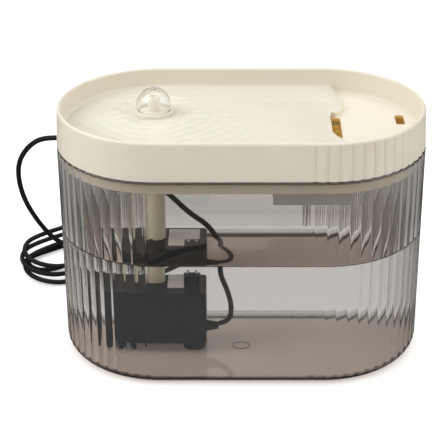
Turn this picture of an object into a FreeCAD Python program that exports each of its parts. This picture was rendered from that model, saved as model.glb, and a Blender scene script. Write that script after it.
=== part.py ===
import FreeCAD, Part
import math
import os
from FreeCAD import Vector

# Pet water fountain, in millimetres. +X is to the right, +Y is to the back, +Z is up.
# The origin is the middle of the tank's flat base.

# Clearances shared by the fits
seat_gap = 0.3
running_gap = 0.05
cut_margin = 1.0

# Tank: an outline with two straight sides and two half-round ends
end_x = 51.6
tank_rim_r = 64.7
tank_taper = 0.5
tank_height = 142.1
tank_wall = 2.6
tank_floor = 3.0
tank_base_fillet = 9.0
gate_mark_r = 6.3
gate_mark_line = 0.9
gate_mark_height = 0.4

# Ribs of the tank's ends and of the tray's right end
rib_count = 28
rib_groove_r = 2.4
rib_groove_depth = 0.7

# Tray
tray_height = 24.6
tray_lean = 1.2
tray_wall = 2.4
tray_floor_rise = 11.6
tray_step = 3.6
tray_floor_thickness = 2.2
tray_wall_lean = 0.8
tray_floor_fillet = 3.0
tray_lip_smooth = 2.0
collar_depth = 8.7
collar_thickness = 2.0
collar_gap = 0.4
slot_x = 60.0
slot_width = 6.0
slot_length = 33.0
hole_x = 101.0
hole_y = 13.5
hole_width = 5.5
hole_length = 15.0
slot_corner_r = 1.2

# The tray's step, from back to front: how far it swings out from the slot, and where along the tray's depth
step_wave = [(3.0, 1.0), (6.5, 0.73), (8.7, 0.46), (5.5, 0.31), (0.0, 0.205), (0.0, -0.205), (3.0, -0.33),
             (8.0, -0.465), (15.0, -0.72), (19.0, -1.0)]

# Spout, on the axis of the riser tube
spout_x = -55.4
spout_y = 14.0
seat_r = 11.9
seat_height = 3.3
ball_r = 11.35
ball_wall = 1.9
ball_centre_above_seat = 3.2
ball_hole_r = 1.6
nozzle_r = 4.0
nozzle_bore_r = 2.7
nozzle_top_above_seat = 9.0
spigot_length = 10.0
seat_round_r = 1.0
seat_groove_depth = 1.4
seat_groove_reach = 1.2
riser_r = 5.5
riser_wall = 1.2

# Pump
pump_left = -82.0
pump_right = -23.0
pump_front = -9.0
pump_back = 27.0
pump_bottom = 8.0
pump_top = 45.5
pump_wall = 2.0
pump_corner_r = 3.0
head_left = -66.0
head_right = -47.0
shaft_y = 9.0
shaft_z = 23.5
shaft_r = 1.0
volute_r = 12.5
volute_wall = 2.0
intake_eye_r = 5.5
well_r = 7.2
well_wall = 1.2
well_length = 20.0
magnet_gap = 0.5
impeller_r = 10.6
impeller_hub_r = 3.4
impeller_width = 9.0
impeller_blades = 6
blade_thickness = 1.2
bush_r = 2.6
bush_length = 2.4
bush_wall = 1.0
spider_width = 1.6
impeller_gap = 2.0
magnet_end_gap = 0.6
seal_r = 14.6
seal_section_r = 0.9
outlet_height = 11.5
foot_r = 7.0
foot_neck_r = 3.6
foot_lip = 1.2
foot_inset = 8.0
intake_slots = 7
intake_slot_width = 2.0
intake_slot_inset = 5.0
slider_travel = 4.0
slider_width = 7.0
slider_height = 5.0
slider_plate = 1.4
slider_knob = 1.6
slider_knob_half = 1.0
slider_knob_inset = 0.6
grip_ribs = 3
grip_rib_pitch = 4.5
grip_rib_height = 0.6
grip_rib_width = 1.2
grip_rib_start = 7.0
grip_rib_left_inset = 1.0
grip_rib_right_inset = 9.0
tower_left = -37.0
tower_right = -26.5
tower_depth = 9.0
tower_height = 12.0
tower_corner_r = 1.5
pin_r = 0.9
pin_height = 3.0
pin_spacing = 5.2
label_thickness = 0.3
label_width = 20.5
label_length = 23.5
label_left = -48.0
label_front = 1.5
label_corner_r = 1.0
core_depth = 10.0
core_half_width = 12.0
core_bar = 4.0
coil_wrap = 1.8
coil_side_gap = 0.4
core_top_gap = 3.0
core_left_gap = 2.0

# Filter box and what it holds
filter_left = 19.5
filter_right = 70.5
filter_half_width = 46.0
filter_height = 28.9
filter_wall = 1.6
filter_drain_slots = 9
filter_drain_width = 2.6
filter_drain_inset = 7.0
felt_thickness = 5.0
granule_depth = 8.0
socket_height = 9.2
socket_wall = 1.6
filter_tab = 1.0
filter_tab_width = 5.0
filter_tab_height = 6.0
filter_corner_r = 2.0

# Cord
cord_d = 3.4
cord_exit_angle = 168.0
cord_exit_drop = 4.5
grommet_width = 7.0
grommet_depth = 8.6
notch_side_gap = 1.2
gland_r = 4.0
gland_tip_r = 2.5
gland_length = 8.0
gland_y = 3.0
gland_z = 17.0
plug_width = 15.5
plug_thickness = 8.0
plug_length = 22.0
plug_corner_r = 2.4
relief_length = 11.0
relief_r = 3.0
relief_tip_r = 2.3
shell_width = 12.0
shell_height = 4.5
shell_length = 12.5
shell_wall = 0.3
tongue_thickness = 1.9
tongue_inset = 1.0
relief_start_u = 22.0
plug_v = -3.5

# Coil on the floor behind the tank: loops stacked on one another
coil_pitch = 4.2
coil_layers = 4
coil_left_r = 25.0
coil_right_r = 15.0
coil_bow = math.radians(5.0)
coil_left_centres = [(-133.0, 101.0), (-134.5, 96.5), (-132.0, 92.5), (-131.5, 95.5)]
coil_right_centres = [(-33.0, 171.0), (-34.5, 168.0), (-32.5, 171.0), (-34.0, 168.5)]
coil_start_share = 0.3

# Places that follow from the sizes above
tank_base_r = tank_rim_r - tank_taper
tray_rim_r = tank_rim_r - tray_lean
tray_base_z = tank_height + seat_gap
tray_top_z = tray_base_z + tray_height
tray_floor_z = tray_base_z + tray_floor_rise
low_floor_z = tray_floor_z - tray_step
plateau_underside = tray_floor_z - tray_floor_thickness
low_underside = low_floor_z - tray_floor_thickness
collar_r = tank_rim_r - tank_wall - collar_gap
collar_inner_r = collar_r - collar_thickness
collar_bottom = tray_base_z - collar_depth
seat_top_z = tray_floor_z + seat_height
spigot_bottom = plateau_underside - spigot_length
spigot_r = riser_r - riser_wall
filter_top = low_underside - seat_gap
filter_bottom = filter_top - filter_height
cord_exit_z = tank_height - cord_exit_drop
cord_r = cord_d / 2
coil_floor_z = cord_r + running_gap


def box(x0, x1, y0, y1, z0, z1):
    """A block between two corners."""
    return Part.makeBox(x1 - x0, y1 - y0, z1 - z0, Vector(x0, y0, z0))


def upright(x, y, z0, z1, radius):
    """An upright cylinder."""
    return Part.makeCylinder(radius, z1 - z0, Vector(x, y, z0))


def along_x(x0, x1, y, z, radius):
    """A cylinder that lies along X."""
    return Part.makeCylinder(radius, x1 - x0, Vector(x0, y, z), Vector(1, 0, 0))


def upright_edges(shape):
    """The straight edges of a shape that run along Z."""
    chosen = []
    for edge in shape.Edges:
        ends = [vertex.Point for vertex in edge.Vertexes]
        if len(ends) == 2 and abs(ends[0].x - ends[1].x) < 1e-6 and abs(ends[0].y - ends[1].y) < 1e-6:
            chosen.append(edge)
    return chosen


def edges_at(shape, z):
    """The edges of a shape that lie level at a height."""
    return [edge for edge in shape.Edges if edge.BoundBox.ZMax - z < 1e-6 and z - edge.BoundBox.ZMin < 1e-6]


def rounded_block(x0, x1, y0, y1, z0, z1, radius):
    """A block with its four upright edges rounded."""
    block = box(x0, x1, y0, y1, z0, z1)
    return block.makeFillet(radius, upright_edges(block))


def end_rounded_block(x0, x1, y0, y1, z0, z1, radius, end_x_place):
    """A block with only the two upright edges of one end rounded."""
    block = box(x0, x1, y0, y1, z0, z1)
    edges = [edge for edge in upright_edges(block) if abs(edge.Vertexes[0].Point.x - end_x_place) < 1e-6]
    return block.makeFillet(radius, edges)


def outline(radius, z):
    """The rounded outline: two straight sides and two half-round ends."""
    front_left = Vector(-end_x, -radius, z)
    front_right = Vector(end_x, -radius, z)
    back_right = Vector(end_x, radius, z)
    back_left = Vector(-end_x, radius, z)
    right_tip = Vector(end_x + radius, 0, z)
    left_tip = Vector(-end_x - radius, 0, z)
    return Part.Wire([
        Part.LineSegment(front_left, front_right).toShape(),
        Part.Arc(front_right, right_tip, back_right).toShape(),
        Part.LineSegment(back_right, back_left).toShape(),
        Part.Arc(back_left, left_tip, front_left).toShape(),
    ])


def outline_block(radius_low, z_low, radius_high, z_high):
    """A solid with the rounded outline, leaning evenly from one radius to another."""
    return Part.makeLoft([outline(radius_low, z_low), outline(radius_high, z_high)], True, True)


def ring_point(radius, angle_deg, z, side):
    """A point of a half-round end. The side is 1 for the right end and -1 for the left end."""
    angle = math.radians(angle_deg)
    return Vector(side * (end_x + radius * math.cos(angle)), radius * math.sin(angle), z)


def rib_grooves(radius_low, z_low, radius_high, z_high, sides):
    """Cutters for the grooves between the ribs of the round ends."""
    offset = rib_groove_r - rib_groove_depth
    cutters = []
    for side in sides:
        for index in range(rib_count + 1):
            angle = -90.0 + 180.0 * index / rib_count
            foot = ring_point(radius_low + offset, angle, z_low, side)
            head = ring_point(radius_high + offset, angle, z_high, side)
            axis = head - foot
            cutters.append(Part.makeCylinder(rib_groove_r, axis.Length, foot, axis))
    return cutters


def at_cord_exit(shape):
    """Turn a shape made for the left tip of the rim round to where the cord leaves."""
    turned = shape.copy()
    turned.rotate(Vector(-end_x, 0, 0), Vector(0, 0, 1), cord_exit_angle - 180.0)
    return turned


def cord_exit_point(radius):
    """A point on the cord's way out, at a distance from the left end's axis."""
    angle = math.radians(cord_exit_angle)
    return Vector(-end_x + radius * math.cos(angle), radius * math.sin(angle), cord_exit_z)


def rim_notch(extra):
    """The block that the grommet fills, in the tank's wall at the left tip."""
    half = grommet_width / 2
    inner = -end_x - tank_rim_r
    return box(inner - extra, inner + tank_wall + extra, -half, half, tank_height - grommet_depth, tank_height + extra)


def make_tank():
    """The clear tank, with ribbed ends and a notch for the cord."""
    body = outline_block(tank_base_r, 0, tank_rim_r, tank_height)
    body = body.makeFillet(tank_base_fillet, edges_at(body, 0))
    body = body.cut(rib_grooves(tank_base_r, -cut_margin, tank_rim_r, tank_height + cut_margin, (1, -1)))
    lean = (tank_rim_r - tank_base_r) / tank_height
    hollow_low_r = tank_base_r - tank_wall + lean * tank_floor
    hollow_high_r = tank_rim_r - tank_wall + lean * cut_margin
    hollow = outline_block(hollow_low_r, tank_floor, hollow_high_r, tank_height + cut_margin)
    hollow = hollow.makeFillet(tank_base_fillet - tank_wall, edges_at(hollow, tank_floor))
    body = body.cut(hollow)
    mark_top = tank_floor + gate_mark_height
    mark = upright(0, 0, tank_floor - cut_margin, mark_top, gate_mark_r)
    mark = mark.cut(upright(0, 0, tank_floor, mark_top + cut_margin, gate_mark_r - gate_mark_line))
    body = body.fuse(mark)
    return body.cut(at_cord_exit(rim_notch(cut_margin))).removeSplitter()


def make_rim_grommet():
    """The rubber block in the rim's notch, flush with both faces of the wall."""
    wall = outline_block(tank_rim_r, tank_height - grommet_depth, tank_rim_r, tank_height)
    wall = wall.cut(outline_block(tank_rim_r - tank_wall, 0, tank_rim_r - tank_wall, tank_height + cut_margin))
    block = wall.common(at_cord_exit(rim_notch(cut_margin)))
    inner = cord_exit_point(collar_inner_r)
    outer = cord_exit_point(tank_rim_r + cut_margin)
    return block.cut(Part.makeCylinder(cord_r, (outer - inner).Length, inner, outer - inner))


def low_floor_outline(shift, z):
    """The face of the tray's low floor, from its wavy step to past the right end."""
    step_x = slot_x - slot_width / 2 + shift
    wave = [Vector(step_x + swing, share * tray_rim_r, z) for swing, share in step_wave]
    curve = Part.BSplineCurve()
    curve.interpolate(wave)
    right = end_x + tank_rim_r
    corner_low = Vector(right, -tray_rim_r, z)
    corner_high = Vector(right, tray_rim_r, z)
    sides = Part.makePolygon([wave[-1], corner_low, corner_high, wave[0]])
    return Part.Face(Part.Wire([curve.toShape()] + sides.Edges))


def low_floor_block(shift, z_low, z_high):
    """The low floor's outline raised to a solid."""
    return low_floor_outline(shift, z_low).extrude(Vector(0, 0, z_high - z_low))


def long_hole(x, y, width, length):
    """A cutter for a hole through the tray's floor."""
    z_low = low_underside - cut_margin
    z_high = tray_floor_z + cut_margin
    half_x = width / 2
    half_y = length / 2
    return rounded_block(x - half_x, x + half_x, y - half_y, y + half_y, z_low, z_high, slot_corner_r)


def make_tray():
    """The drinking tray: its wall, and its two floors with the step between them."""
    body = outline_block(tank_rim_r, tray_base_z, tray_rim_r, tray_top_z)
    ribs_top = tray_top_z - tray_lip_smooth
    ribs_top_r = tray_rim_r + tray_lean * tray_lip_smooth / tray_height
    body = body.cut(rib_grooves(tank_rim_r, tray_base_z, ribs_top_r, ribs_top, (1,)))
    low_hollow = outline_block(collar_inner_r, tray_base_z - cut_margin, collar_inner_r, low_underside)
    high_hollow = outline_block(collar_inner_r, tray_base_z - cut_margin, collar_inner_r, plateau_underside)
    body = body.cut([low_hollow, high_hollow.cut(low_floor_shell())])
    basin_top_r = tray_rim_r - tray_wall
    basin_low_r = basin_top_r - tray_wall_lean
    basin = outline_block(basin_low_r, tray_floor_z, basin_top_r, tray_top_z + cut_margin)
    basin = basin.makeFillet(tray_floor_fillet, edges_at(basin, tray_floor_z))
    low_basin = outline_block(basin_low_r, low_floor_z, basin_low_r, tray_floor_z + tray_floor_fillet)
    low_basin = low_basin.common(low_floor_block(0, low_floor_z, tray_floor_z + tray_floor_fillet))
    cuts = [
        basin,
        low_basin,
        long_hole(slot_x, 0, slot_width, slot_length),
        long_hole(hole_x, hole_y, hole_width, hole_length),
        upright(spout_x, spout_y, tray_base_z, tray_top_z, spigot_r),
    ]
    return body.cut(cuts).removeSplitter()


def low_floor_shell():
    """The low floor and the step's upright wall, which the hollow under the high floor leaves standing."""
    return low_floor_block(-tray_floor_thickness, low_underside, tray_floor_z)


def make_tray_collar():
    """The collar under the tray that reaches into the tank, with a gap for the cord."""
    collar = outline_block(collar_r, collar_bottom, collar_r, tray_base_z)
    collar = collar.cut(outline_block(collar_inner_r, collar_bottom - cut_margin,
                                      collar_inner_r, tray_base_z + cut_margin))
    cord_gap = notch_side_gap + cord_r
    tip = -end_x - collar_r
    notch = box(tip - cut_margin, tip + collar_thickness + cut_margin, -cord_gap, cord_gap,
                collar_bottom - cut_margin, cord_exit_z + cord_gap)
    return collar.cut(at_cord_exit(notch))


def make_filter_socket():
    """The frame under the tray that the filter box plugs into."""
    left = filter_left - seat_gap
    right = filter_right + seat_gap
    half = filter_half_width + seat_gap
    bottom = low_underside - socket_height
    frame = box(left - socket_wall, right + socket_wall, -half - socket_wall, half + socket_wall,
                bottom, plateau_underside)
    frame = frame.cut(box(left, right, -half, half, bottom - cut_margin, tray_floor_z))
    return frame.cut(low_floor_shell())


def make_riser_tube():
    """The tube from the pump's outlet to the tray's stub."""
    bottom = pump_top + seat_gap
    tube = upright(spout_x, spout_y, bottom, plateau_underside, riser_r)
    return tube.cut(upright(spout_x, spout_y, bottom - cut_margin, tray_floor_z, spigot_r))


def make_spout_nozzle():
    """The seat ring on the tray's floor, the nozzle in its middle and the spigot below that holds the riser tube."""
    inner_r = seat_r - seat_round_r
    round_z = seat_top_z - seat_round_r
    seat = upright(spout_x, spout_y, tray_floor_z, round_z, seat_r)
    seat = seat.fuse([upright(spout_x, spout_y, tray_floor_z, seat_top_z, inner_r),
                      Part.makeTorus(inner_r, seat_round_r, Vector(spout_x, spout_y, round_z))])
    groove_r = ball_base_r() - ball_wall + seat_groove_reach
    seat = seat.cut(upright(spout_x, spout_y, seat_top_z - seat_groove_depth, tray_top_z, groove_r))
    core = upright(spout_x, spout_y, tray_floor_z, seat_top_z + nozzle_top_above_seat, nozzle_r)
    spigot = upright(spout_x, spout_y, spigot_bottom, tray_floor_z, spigot_r)
    body = seat.fuse([core, spigot])
    bore = upright(spout_x, spout_y, spigot_bottom - cut_margin, tray_top_z + cut_margin, nozzle_bore_r)
    return body.cut(bore).removeSplitter()


def ball_base_r():
    """The radius of the flat ring that the clear ball stands on."""
    return math.sqrt(ball_r ** 2 - ball_centre_above_seat ** 2)


def make_spout_ball():
    """The clear hollow ball, open below, with the water hole on top."""
    centre = Vector(spout_x, spout_y, seat_top_z + ball_centre_above_seat)
    ball = Part.makeSphere(ball_r, centre)
    hollow = Part.makeSphere(ball_r - ball_wall, centre)
    base_z = seat_top_z + seat_gap
    ball = ball.cut(box(spout_x - 2 * ball_r, spout_x + 2 * ball_r, spout_y - 2 * ball_r, spout_y + 2 * ball_r,
                        base_z - 2 * ball_r, base_z))
    top_hole = upright(spout_x, spout_y, centre.z, centre.z + 2 * ball_r, ball_hole_r)
    return ball.cut([hollow, top_hole])


def make_pump_housing():
    """The motor's shell, with the closed well that the rotor turns in."""
    body = end_rounded_block(head_right, pump_right, pump_front, pump_back, pump_bottom, pump_top,
                             pump_corner_r, pump_right)
    body = body.cut(box(head_right + pump_wall, pump_right + cut_margin, pump_front + pump_wall,
                        pump_back - pump_wall, pump_bottom + pump_wall, pump_top - pump_wall))
    well = along_x(head_right, head_right + well_length, shaft_y, shaft_z, well_r + well_wall)
    body = body.fuse(well)
    body = body.cut(along_x(head_right - cut_margin, head_right + well_length - well_wall, shaft_y, shaft_z, well_r))
    ribs = []
    for index in range(grip_ribs):
        z = pump_bottom + grip_rib_start + index * grip_rib_pitch
        ribs.append(box(head_right + grip_rib_left_inset, pump_right - grip_rib_right_inset,
                        pump_front - grip_rib_height, pump_front + pump_wall / 2, z, z + grip_rib_width))
    body = body.fuse(ribs)
    groove = Part.makeTorus(seal_r, seal_section_r, Vector(head_right, shaft_y, shaft_z), Vector(1, 0, 0))
    return body.cut(groove).removeSplitter()


def make_motor_end_cap():
    """The plate that closes the motor, with the cord's hole."""
    inset = pump_wall
    plate = box(pump_right - pump_wall, pump_right, pump_front + inset, pump_back - inset,
                pump_bottom + inset, pump_top - inset)
    return plate.cut(along_x(pump_right - 2 * pump_wall, pump_right + cut_margin, gland_y, gland_z, cord_r))


def make_stator_core():
    """The iron core round the rotor's well, with a window for the coil."""
    left = head_right + pump_wall + core_left_gap
    well_clear = well_r + well_wall
    top = pump_top - pump_wall - core_top_gap
    core = box(left, left + core_depth, shaft_y - core_half_width, shaft_y + core_half_width,
               shaft_z - well_clear - core_bar, top)
    window_z = top - core_bar
    window = box(left - cut_margin, left + core_depth + cut_margin, shaft_y - core_half_width + core_bar,
                 shaft_y + core_half_width - core_bar, window_z - core_bar, window_z)
    round_hole = along_x(left - cut_margin, left + core_depth + cut_margin, shaft_y, shaft_z, well_clear)
    return core.cut([window, round_hole])


def make_stator_coil(core):
    """The winding round the core's top bar."""
    left = core.BoundBox.XMin
    right = core.BoundBox.XMax
    top = core.BoundBox.ZMax
    half = core_half_width - core_bar - coil_side_gap
    coil = box(left - coil_wrap, right + coil_wrap, shaft_y - half, shaft_y + half, top - core_bar - coil_wrap,
               top + coil_wrap)
    return coil.cut(box(left, right, shaft_y - half - cut_margin, shaft_y + half + cut_margin, top - core_bar, top))


def make_pump_head():
    """The chamber that the impeller turns in, with the outlet spigot on top."""
    body = box(head_left, head_right, pump_front, pump_back, pump_bottom, pump_top)
    outlet_r = spigot_r - running_gap
    body = body.fuse(upright(spout_x, spout_y, pump_top - cut_margin, pump_top + outlet_height, outlet_r))
    chamber = along_x(head_left + volute_wall, head_right + cut_margin, shaft_y, shaft_z, volute_r)
    outlet = upright(spout_x, spout_y, shaft_z, pump_top + outlet_height + cut_margin, nozzle_bore_r)
    eye = along_x(head_left - cut_margin, head_left + volute_wall + cut_margin, shaft_y, shaft_z, intake_eye_r)
    groove = Part.makeTorus(seal_r, seal_section_r, Vector(head_right, shaft_y, shaft_z), Vector(1, 0, 0))
    body = body.cut([chamber, outlet, eye, groove])
    half = spider_width / 2
    reach = (intake_eye_r + volute_r) / 2
    spider = box(head_left, head_left + volute_wall, shaft_y - half, shaft_y + half, shaft_z - reach, shaft_z + reach)
    hub = along_x(head_left, head_left + volute_wall, shaft_y, shaft_z, bush_r + bush_wall)
    bore = along_x(head_left - cut_margin, head_left + volute_wall + cut_margin, shaft_y, shaft_z, bush_r)
    return body.fuse([spider, hub]).cut(bore).removeSplitter()


def make_head_seal():
    """The rubber ring between the pump's head and its motor."""
    return Part.makeTorus(seal_r, seal_section_r, Vector(head_right, shaft_y, shaft_z), Vector(1, 0, 0))


def front_bush_right():
    """Where the front bush ends and the impeller may begin."""
    return head_left + bush_length


def make_shaft_bush(x0, x1):
    """One of the two bushes that hold the shaft."""
    bush = along_x(x0, x1, shaft_y, shaft_z, bush_r)
    return bush.cut(along_x(x0 - cut_margin, x1 + cut_margin, shaft_y, shaft_z, shaft_r))


def well_end():
    """The inner face of the rotor well's closed end."""
    return head_right + well_length - well_wall


def make_shaft():
    """The ceramic shaft, held still in its two bushes."""
    return along_x(head_left, well_end(), shaft_y, shaft_z, shaft_r)


def make_impeller():
    """The impeller: hub, back plate and straight blades."""
    left = front_bush_right() + impeller_gap
    right = left + impeller_width
    hub = along_x(left, right, shaft_y, shaft_z, impeller_hub_r)
    plate = along_x(right - blade_thickness, right, shaft_y, shaft_z, impeller_r)
    parts = [plate]
    for index in range(impeller_blades):
        blade = box(left, right, shaft_y, shaft_y + impeller_r, shaft_z - blade_thickness / 2,
                    shaft_z + blade_thickness / 2)
        blade.rotate(Vector(0, shaft_y, shaft_z), Vector(1, 0, 0), 360.0 * index / impeller_blades)
        parts.append(blade)
    body = hub.fuse(parts).common(along_x(left, right, shaft_y, shaft_z, impeller_r))
    bore = along_x(left - cut_margin, right + cut_margin, shaft_y, shaft_z, shaft_r + running_gap)
    return body.cut(bore).removeSplitter()


def make_rotor_magnet():
    """The magnet that turns in the well, fixed to the impeller's back plate."""
    left = front_bush_right() + impeller_gap + impeller_width
    right = well_end() - bush_length - magnet_end_gap
    magnet = along_x(left, right, shaft_y, shaft_z, well_r - magnet_gap)
    return magnet.cut(along_x(left - cut_margin, right + cut_margin, shaft_y, shaft_z, shaft_r + running_gap))


def slider_centre():
    """The middle of the flow slider at rest."""
    return Vector((pump_left + head_left) / 2 - slider_travel / 2, pump_front, (pump_bottom + pump_top) / 2)


def make_intake_cover():
    """The slotted cover over the pump's inlet, with the flow slider's track."""
    body = end_rounded_block(pump_left, head_left, pump_front, pump_back, pump_bottom, pump_top,
                             pump_corner_r, pump_left)
    body = body.cut(box(pump_left + pump_wall, head_left + cut_margin, pump_front + 2 * pump_wall, pump_back - pump_wall,
                        pump_bottom + pump_wall, pump_top - pump_wall))
    slots = []
    pitch = (pump_back - pump_front - 4 * pump_wall) / intake_slots
    for index in range(intake_slots):
        y = pump_front + 3 * pump_wall + pitch * index
        slots.append(box(pump_left - cut_margin, pump_left + pump_wall + cut_margin, y, y + intake_slot_width,
                         pump_bottom + intake_slot_inset, pump_top - intake_slot_inset))
    centre = slider_centre()
    reach = slider_width / 2 + running_gap
    rise = slider_height / 2 + running_gap
    track = box(centre.x - reach, centre.x + reach + slider_travel, pump_front - cut_margin,
                pump_front + slider_plate + running_gap, centre.z - rise, centre.z + rise)
    return body.cut(slots + [track]).removeSplitter()


def make_flow_slider():
    """The small slider in the intake cover's track."""
    centre = slider_centre()
    half = slider_width / 2
    rise = slider_height / 2
    plate = box(centre.x - half, centre.x + half, pump_front, pump_front + slider_plate,
                centre.z - rise, centre.z + rise)
    knob_rise = rise - slider_knob_inset
    knob = box(centre.x - slider_knob_half, centre.x + slider_knob_half, pump_front - slider_knob, pump_front,
               centre.z - knob_rise, centre.z + knob_rise)
    return plate.fuse(knob).removeSplitter()


def make_suction_feet():
    """Four rubber suction feet between the tank's floor and the pump."""
    feet = []
    height = pump_bottom - tank_floor
    for x in (pump_left + foot_inset, pump_right - foot_inset):
        for y in (pump_front + foot_inset, pump_back - foot_inset):
            lip = upright(x, y, tank_floor, tank_floor + foot_lip, foot_r)
            cone = Part.makeCone(foot_r, foot_neck_r, height - foot_lip, Vector(x, y, tank_floor + foot_lip))
            feet.append(lip.fuse(cone).removeSplitter())
    return Part.makeCompound(feet)


def make_sensor_tower():
    """The black block on the pump's front edge that carries the water sensor's pins."""
    return rounded_block(tower_left, tower_right, pump_front, pump_front + tower_depth, pump_top,
                         pump_top + tower_height, tower_corner_r)


def make_sensor_pins():
    """Two steel pins on the sensor tower."""
    top = pump_top + tower_height
    middle = (tower_left + tower_right) / 2
    y = pump_front + tower_depth / 2
    pins = [upright(middle + side * pin_spacing / 2, y, top, top + pin_height, pin_r) for side in (-1, 1)]
    return Part.makeCompound(pins)


def make_pump_label():
    """The bare label plate on top of the motor."""
    return rounded_block(label_left, label_left + label_width, label_front, label_front + label_length,
                         pump_top, pump_top + label_thickness, label_corner_r)


def make_cable_gland():
    """The tapered gland where the cord leaves the pump."""
    gland = Part.makeCone(gland_r, gland_tip_r, gland_length, Vector(pump_right, gland_y, gland_z), Vector(1, 0, 0))
    return gland.cut(along_x(pump_right - cut_margin, pump_right + gland_length + cut_margin, gland_y, gland_z, cord_r))


def make_filter_box():
    """The open box that hangs in the tray's socket, with drain slots in its floor."""
    shell = rounded_block(filter_left, filter_right, -filter_half_width, filter_half_width, filter_bottom, filter_top,
                          filter_corner_r)
    shell = shell.cut(box(filter_left + filter_wall, filter_right - filter_wall, -filter_half_width + filter_wall,
                          filter_half_width - filter_wall, filter_bottom + filter_wall, filter_top + cut_margin))
    slots = []
    inner_width = 2 * (filter_half_width - filter_drain_inset)
    pitch = inner_width / filter_drain_slots
    for index in range(filter_drain_slots):
        y = -inner_width / 2 + pitch * (index + 0.5)
        slots.append(box(filter_left + filter_drain_inset, filter_right - filter_drain_inset,
                         y - filter_drain_width / 2, y + filter_drain_width / 2,
                         filter_bottom - cut_margin, filter_bottom + filter_wall + cut_margin))
    shell = shell.cut(slots)
    tab_left = filter_left + filter_corner_r
    tab_bottom = filter_bottom + filter_tab_height
    tab = box(tab_left, tab_left + filter_tab_width, -filter_half_width - filter_tab,
              -filter_half_width + filter_wall / 2, tab_bottom, tab_bottom + filter_tab_height)
    return shell.fuse(tab).removeSplitter()


def filter_layer(z_low, z_high):
    """A layer that fills the filter box from wall to wall."""
    gap = filter_wall + seat_gap
    return rounded_block(filter_left + gap, filter_right - gap, -filter_half_width + gap, filter_half_width - gap,
                         z_low, z_high, filter_corner_r - filter_wall / 2)


def arc_of_corner(before, corner, after):
    """The tangent points, radius and middle of the arc that rounds one corner of a route."""
    arriving = (corner - before)
    leaving = (after - corner)
    shorter = min(arriving.Length, leaving.Length)
    arriving.normalize()
    leaving.normalize()
    turn = arriving.getAngle(leaving)
    reach = 0.45 * shorter
    radius = reach / math.tan(turn / 2)
    start = corner - arriving * reach
    end = corner + leaving * reach
    inward = leaving - arriving
    inward.normalize()
    middle = corner + inward * (radius / math.cos(turn / 2) - radius)
    return start, middle, end, radius


def cord_tube(name, route):
    """A round tube along straight runs joined by tangent arcs."""
    points = [Vector(*point) for point in route]
    edges = []
    radii = []
    here = points[0]
    for index in range(1, len(points) - 1):
        start, middle, end, radius = arc_of_corner(points[index - 1], points[index], points[index + 1])
        edges.append(Part.LineSegment(here, start).toShape())
        edges.append(Part.Arc(start, middle, end).toShape())
        radii.append(radius)
        here = end
    edges.append(Part.LineSegment(here, points[-1]).toShape())
    return sweep_cord(name, edges, radii)


def sweep_cord(name, edges, radii):
    """Sweep the cord's round section along joined edges, and print what was made."""
    path = Part.Wire(edges)
    start = edges[0].valueAt(edges[0].FirstParameter)
    heading = edges[0].tangentAt(edges[0].FirstParameter)
    section = Part.Wire([Part.makeCircle(cord_r, start, heading)])
    shell = Part.BRepOffsetAPI.MakePipeShell(path)
    shell.add(section)
    shell.build()
    shell.makeSolid()
    solid = shell.shape()
    expected = math.pi * cord_r ** 2 * path.Length
    print(f"{name}: length {path.Length:.0f}, least radius {min(radii):.1f}, volume ratio {solid.Volume / expected:.4f}")
    return solid


def biarc(p0, t0, p1, t1):
    """Two tangent arcs, as edges, from one place and heading to another, and their radii."""
    span = p1 - p0
    both = t0 + t1
    spread = 2 * (1 - t0.dot(t1))
    lean = span.dot(both)
    if spread < 1e-9:
        return [Part.LineSegment(p0, p1).toShape()], []
    reach = (math.sqrt(lean * lean + spread * span.dot(span)) - lean) / spread
    corner_a = p0 + t0 * reach
    corner_b = p1 - t1 * reach
    joint = (corner_a + corner_b) * 0.5
    edges = []
    radii = []
    for start, corner, end in ((p0, corner_a, joint), (joint, corner_b, p1)):
        arriving = corner - start
        leaving = end - corner
        turn = arriving.getAngle(leaving)
        radius = arriving.Length / math.tan(turn / 2)
        inward = (start + end) * 0.5 - corner
        inward.normalize()
        middle = corner + inward * (radius / math.cos(turn / 2) - radius)
        edges.append(Part.Arc(start, middle, end).toShape())
        radii.append(radius)
    return edges, radii


def run_between(centre_a, radius_a, centre_b, radius_b):
    """Where a bowed run leaves one round end and meets the next: two places and two headings."""
    dx = centre_b[0] - centre_a[0]
    dy = centre_b[1] - centre_a[1]
    heading = math.atan2(dy, dx) - math.asin((radius_b - radius_a) / math.hypot(dx, dy))
    stations = []
    for centre, radius, angle in ((centre_a, radius_a, heading - coil_bow), (centre_b, radius_b, heading + coil_bow)):
        place = (centre[0] + radius * math.sin(angle), centre[1] - radius * math.cos(angle))
        stations.append((place, angle))
    return stations


def halfway(heading_a, heading_b):
    """The heading halfway through a turn to the left from one heading to another."""
    return heading_a + ((heading_b - heading_a) % (2 * math.pi)) / 2


def round_station(centre, radius, angle):
    """The place on a round end where the cord heads along an angle."""
    return (centre[0] + radius * math.sin(angle), centre[1] - radius * math.cos(angle)), angle


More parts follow.
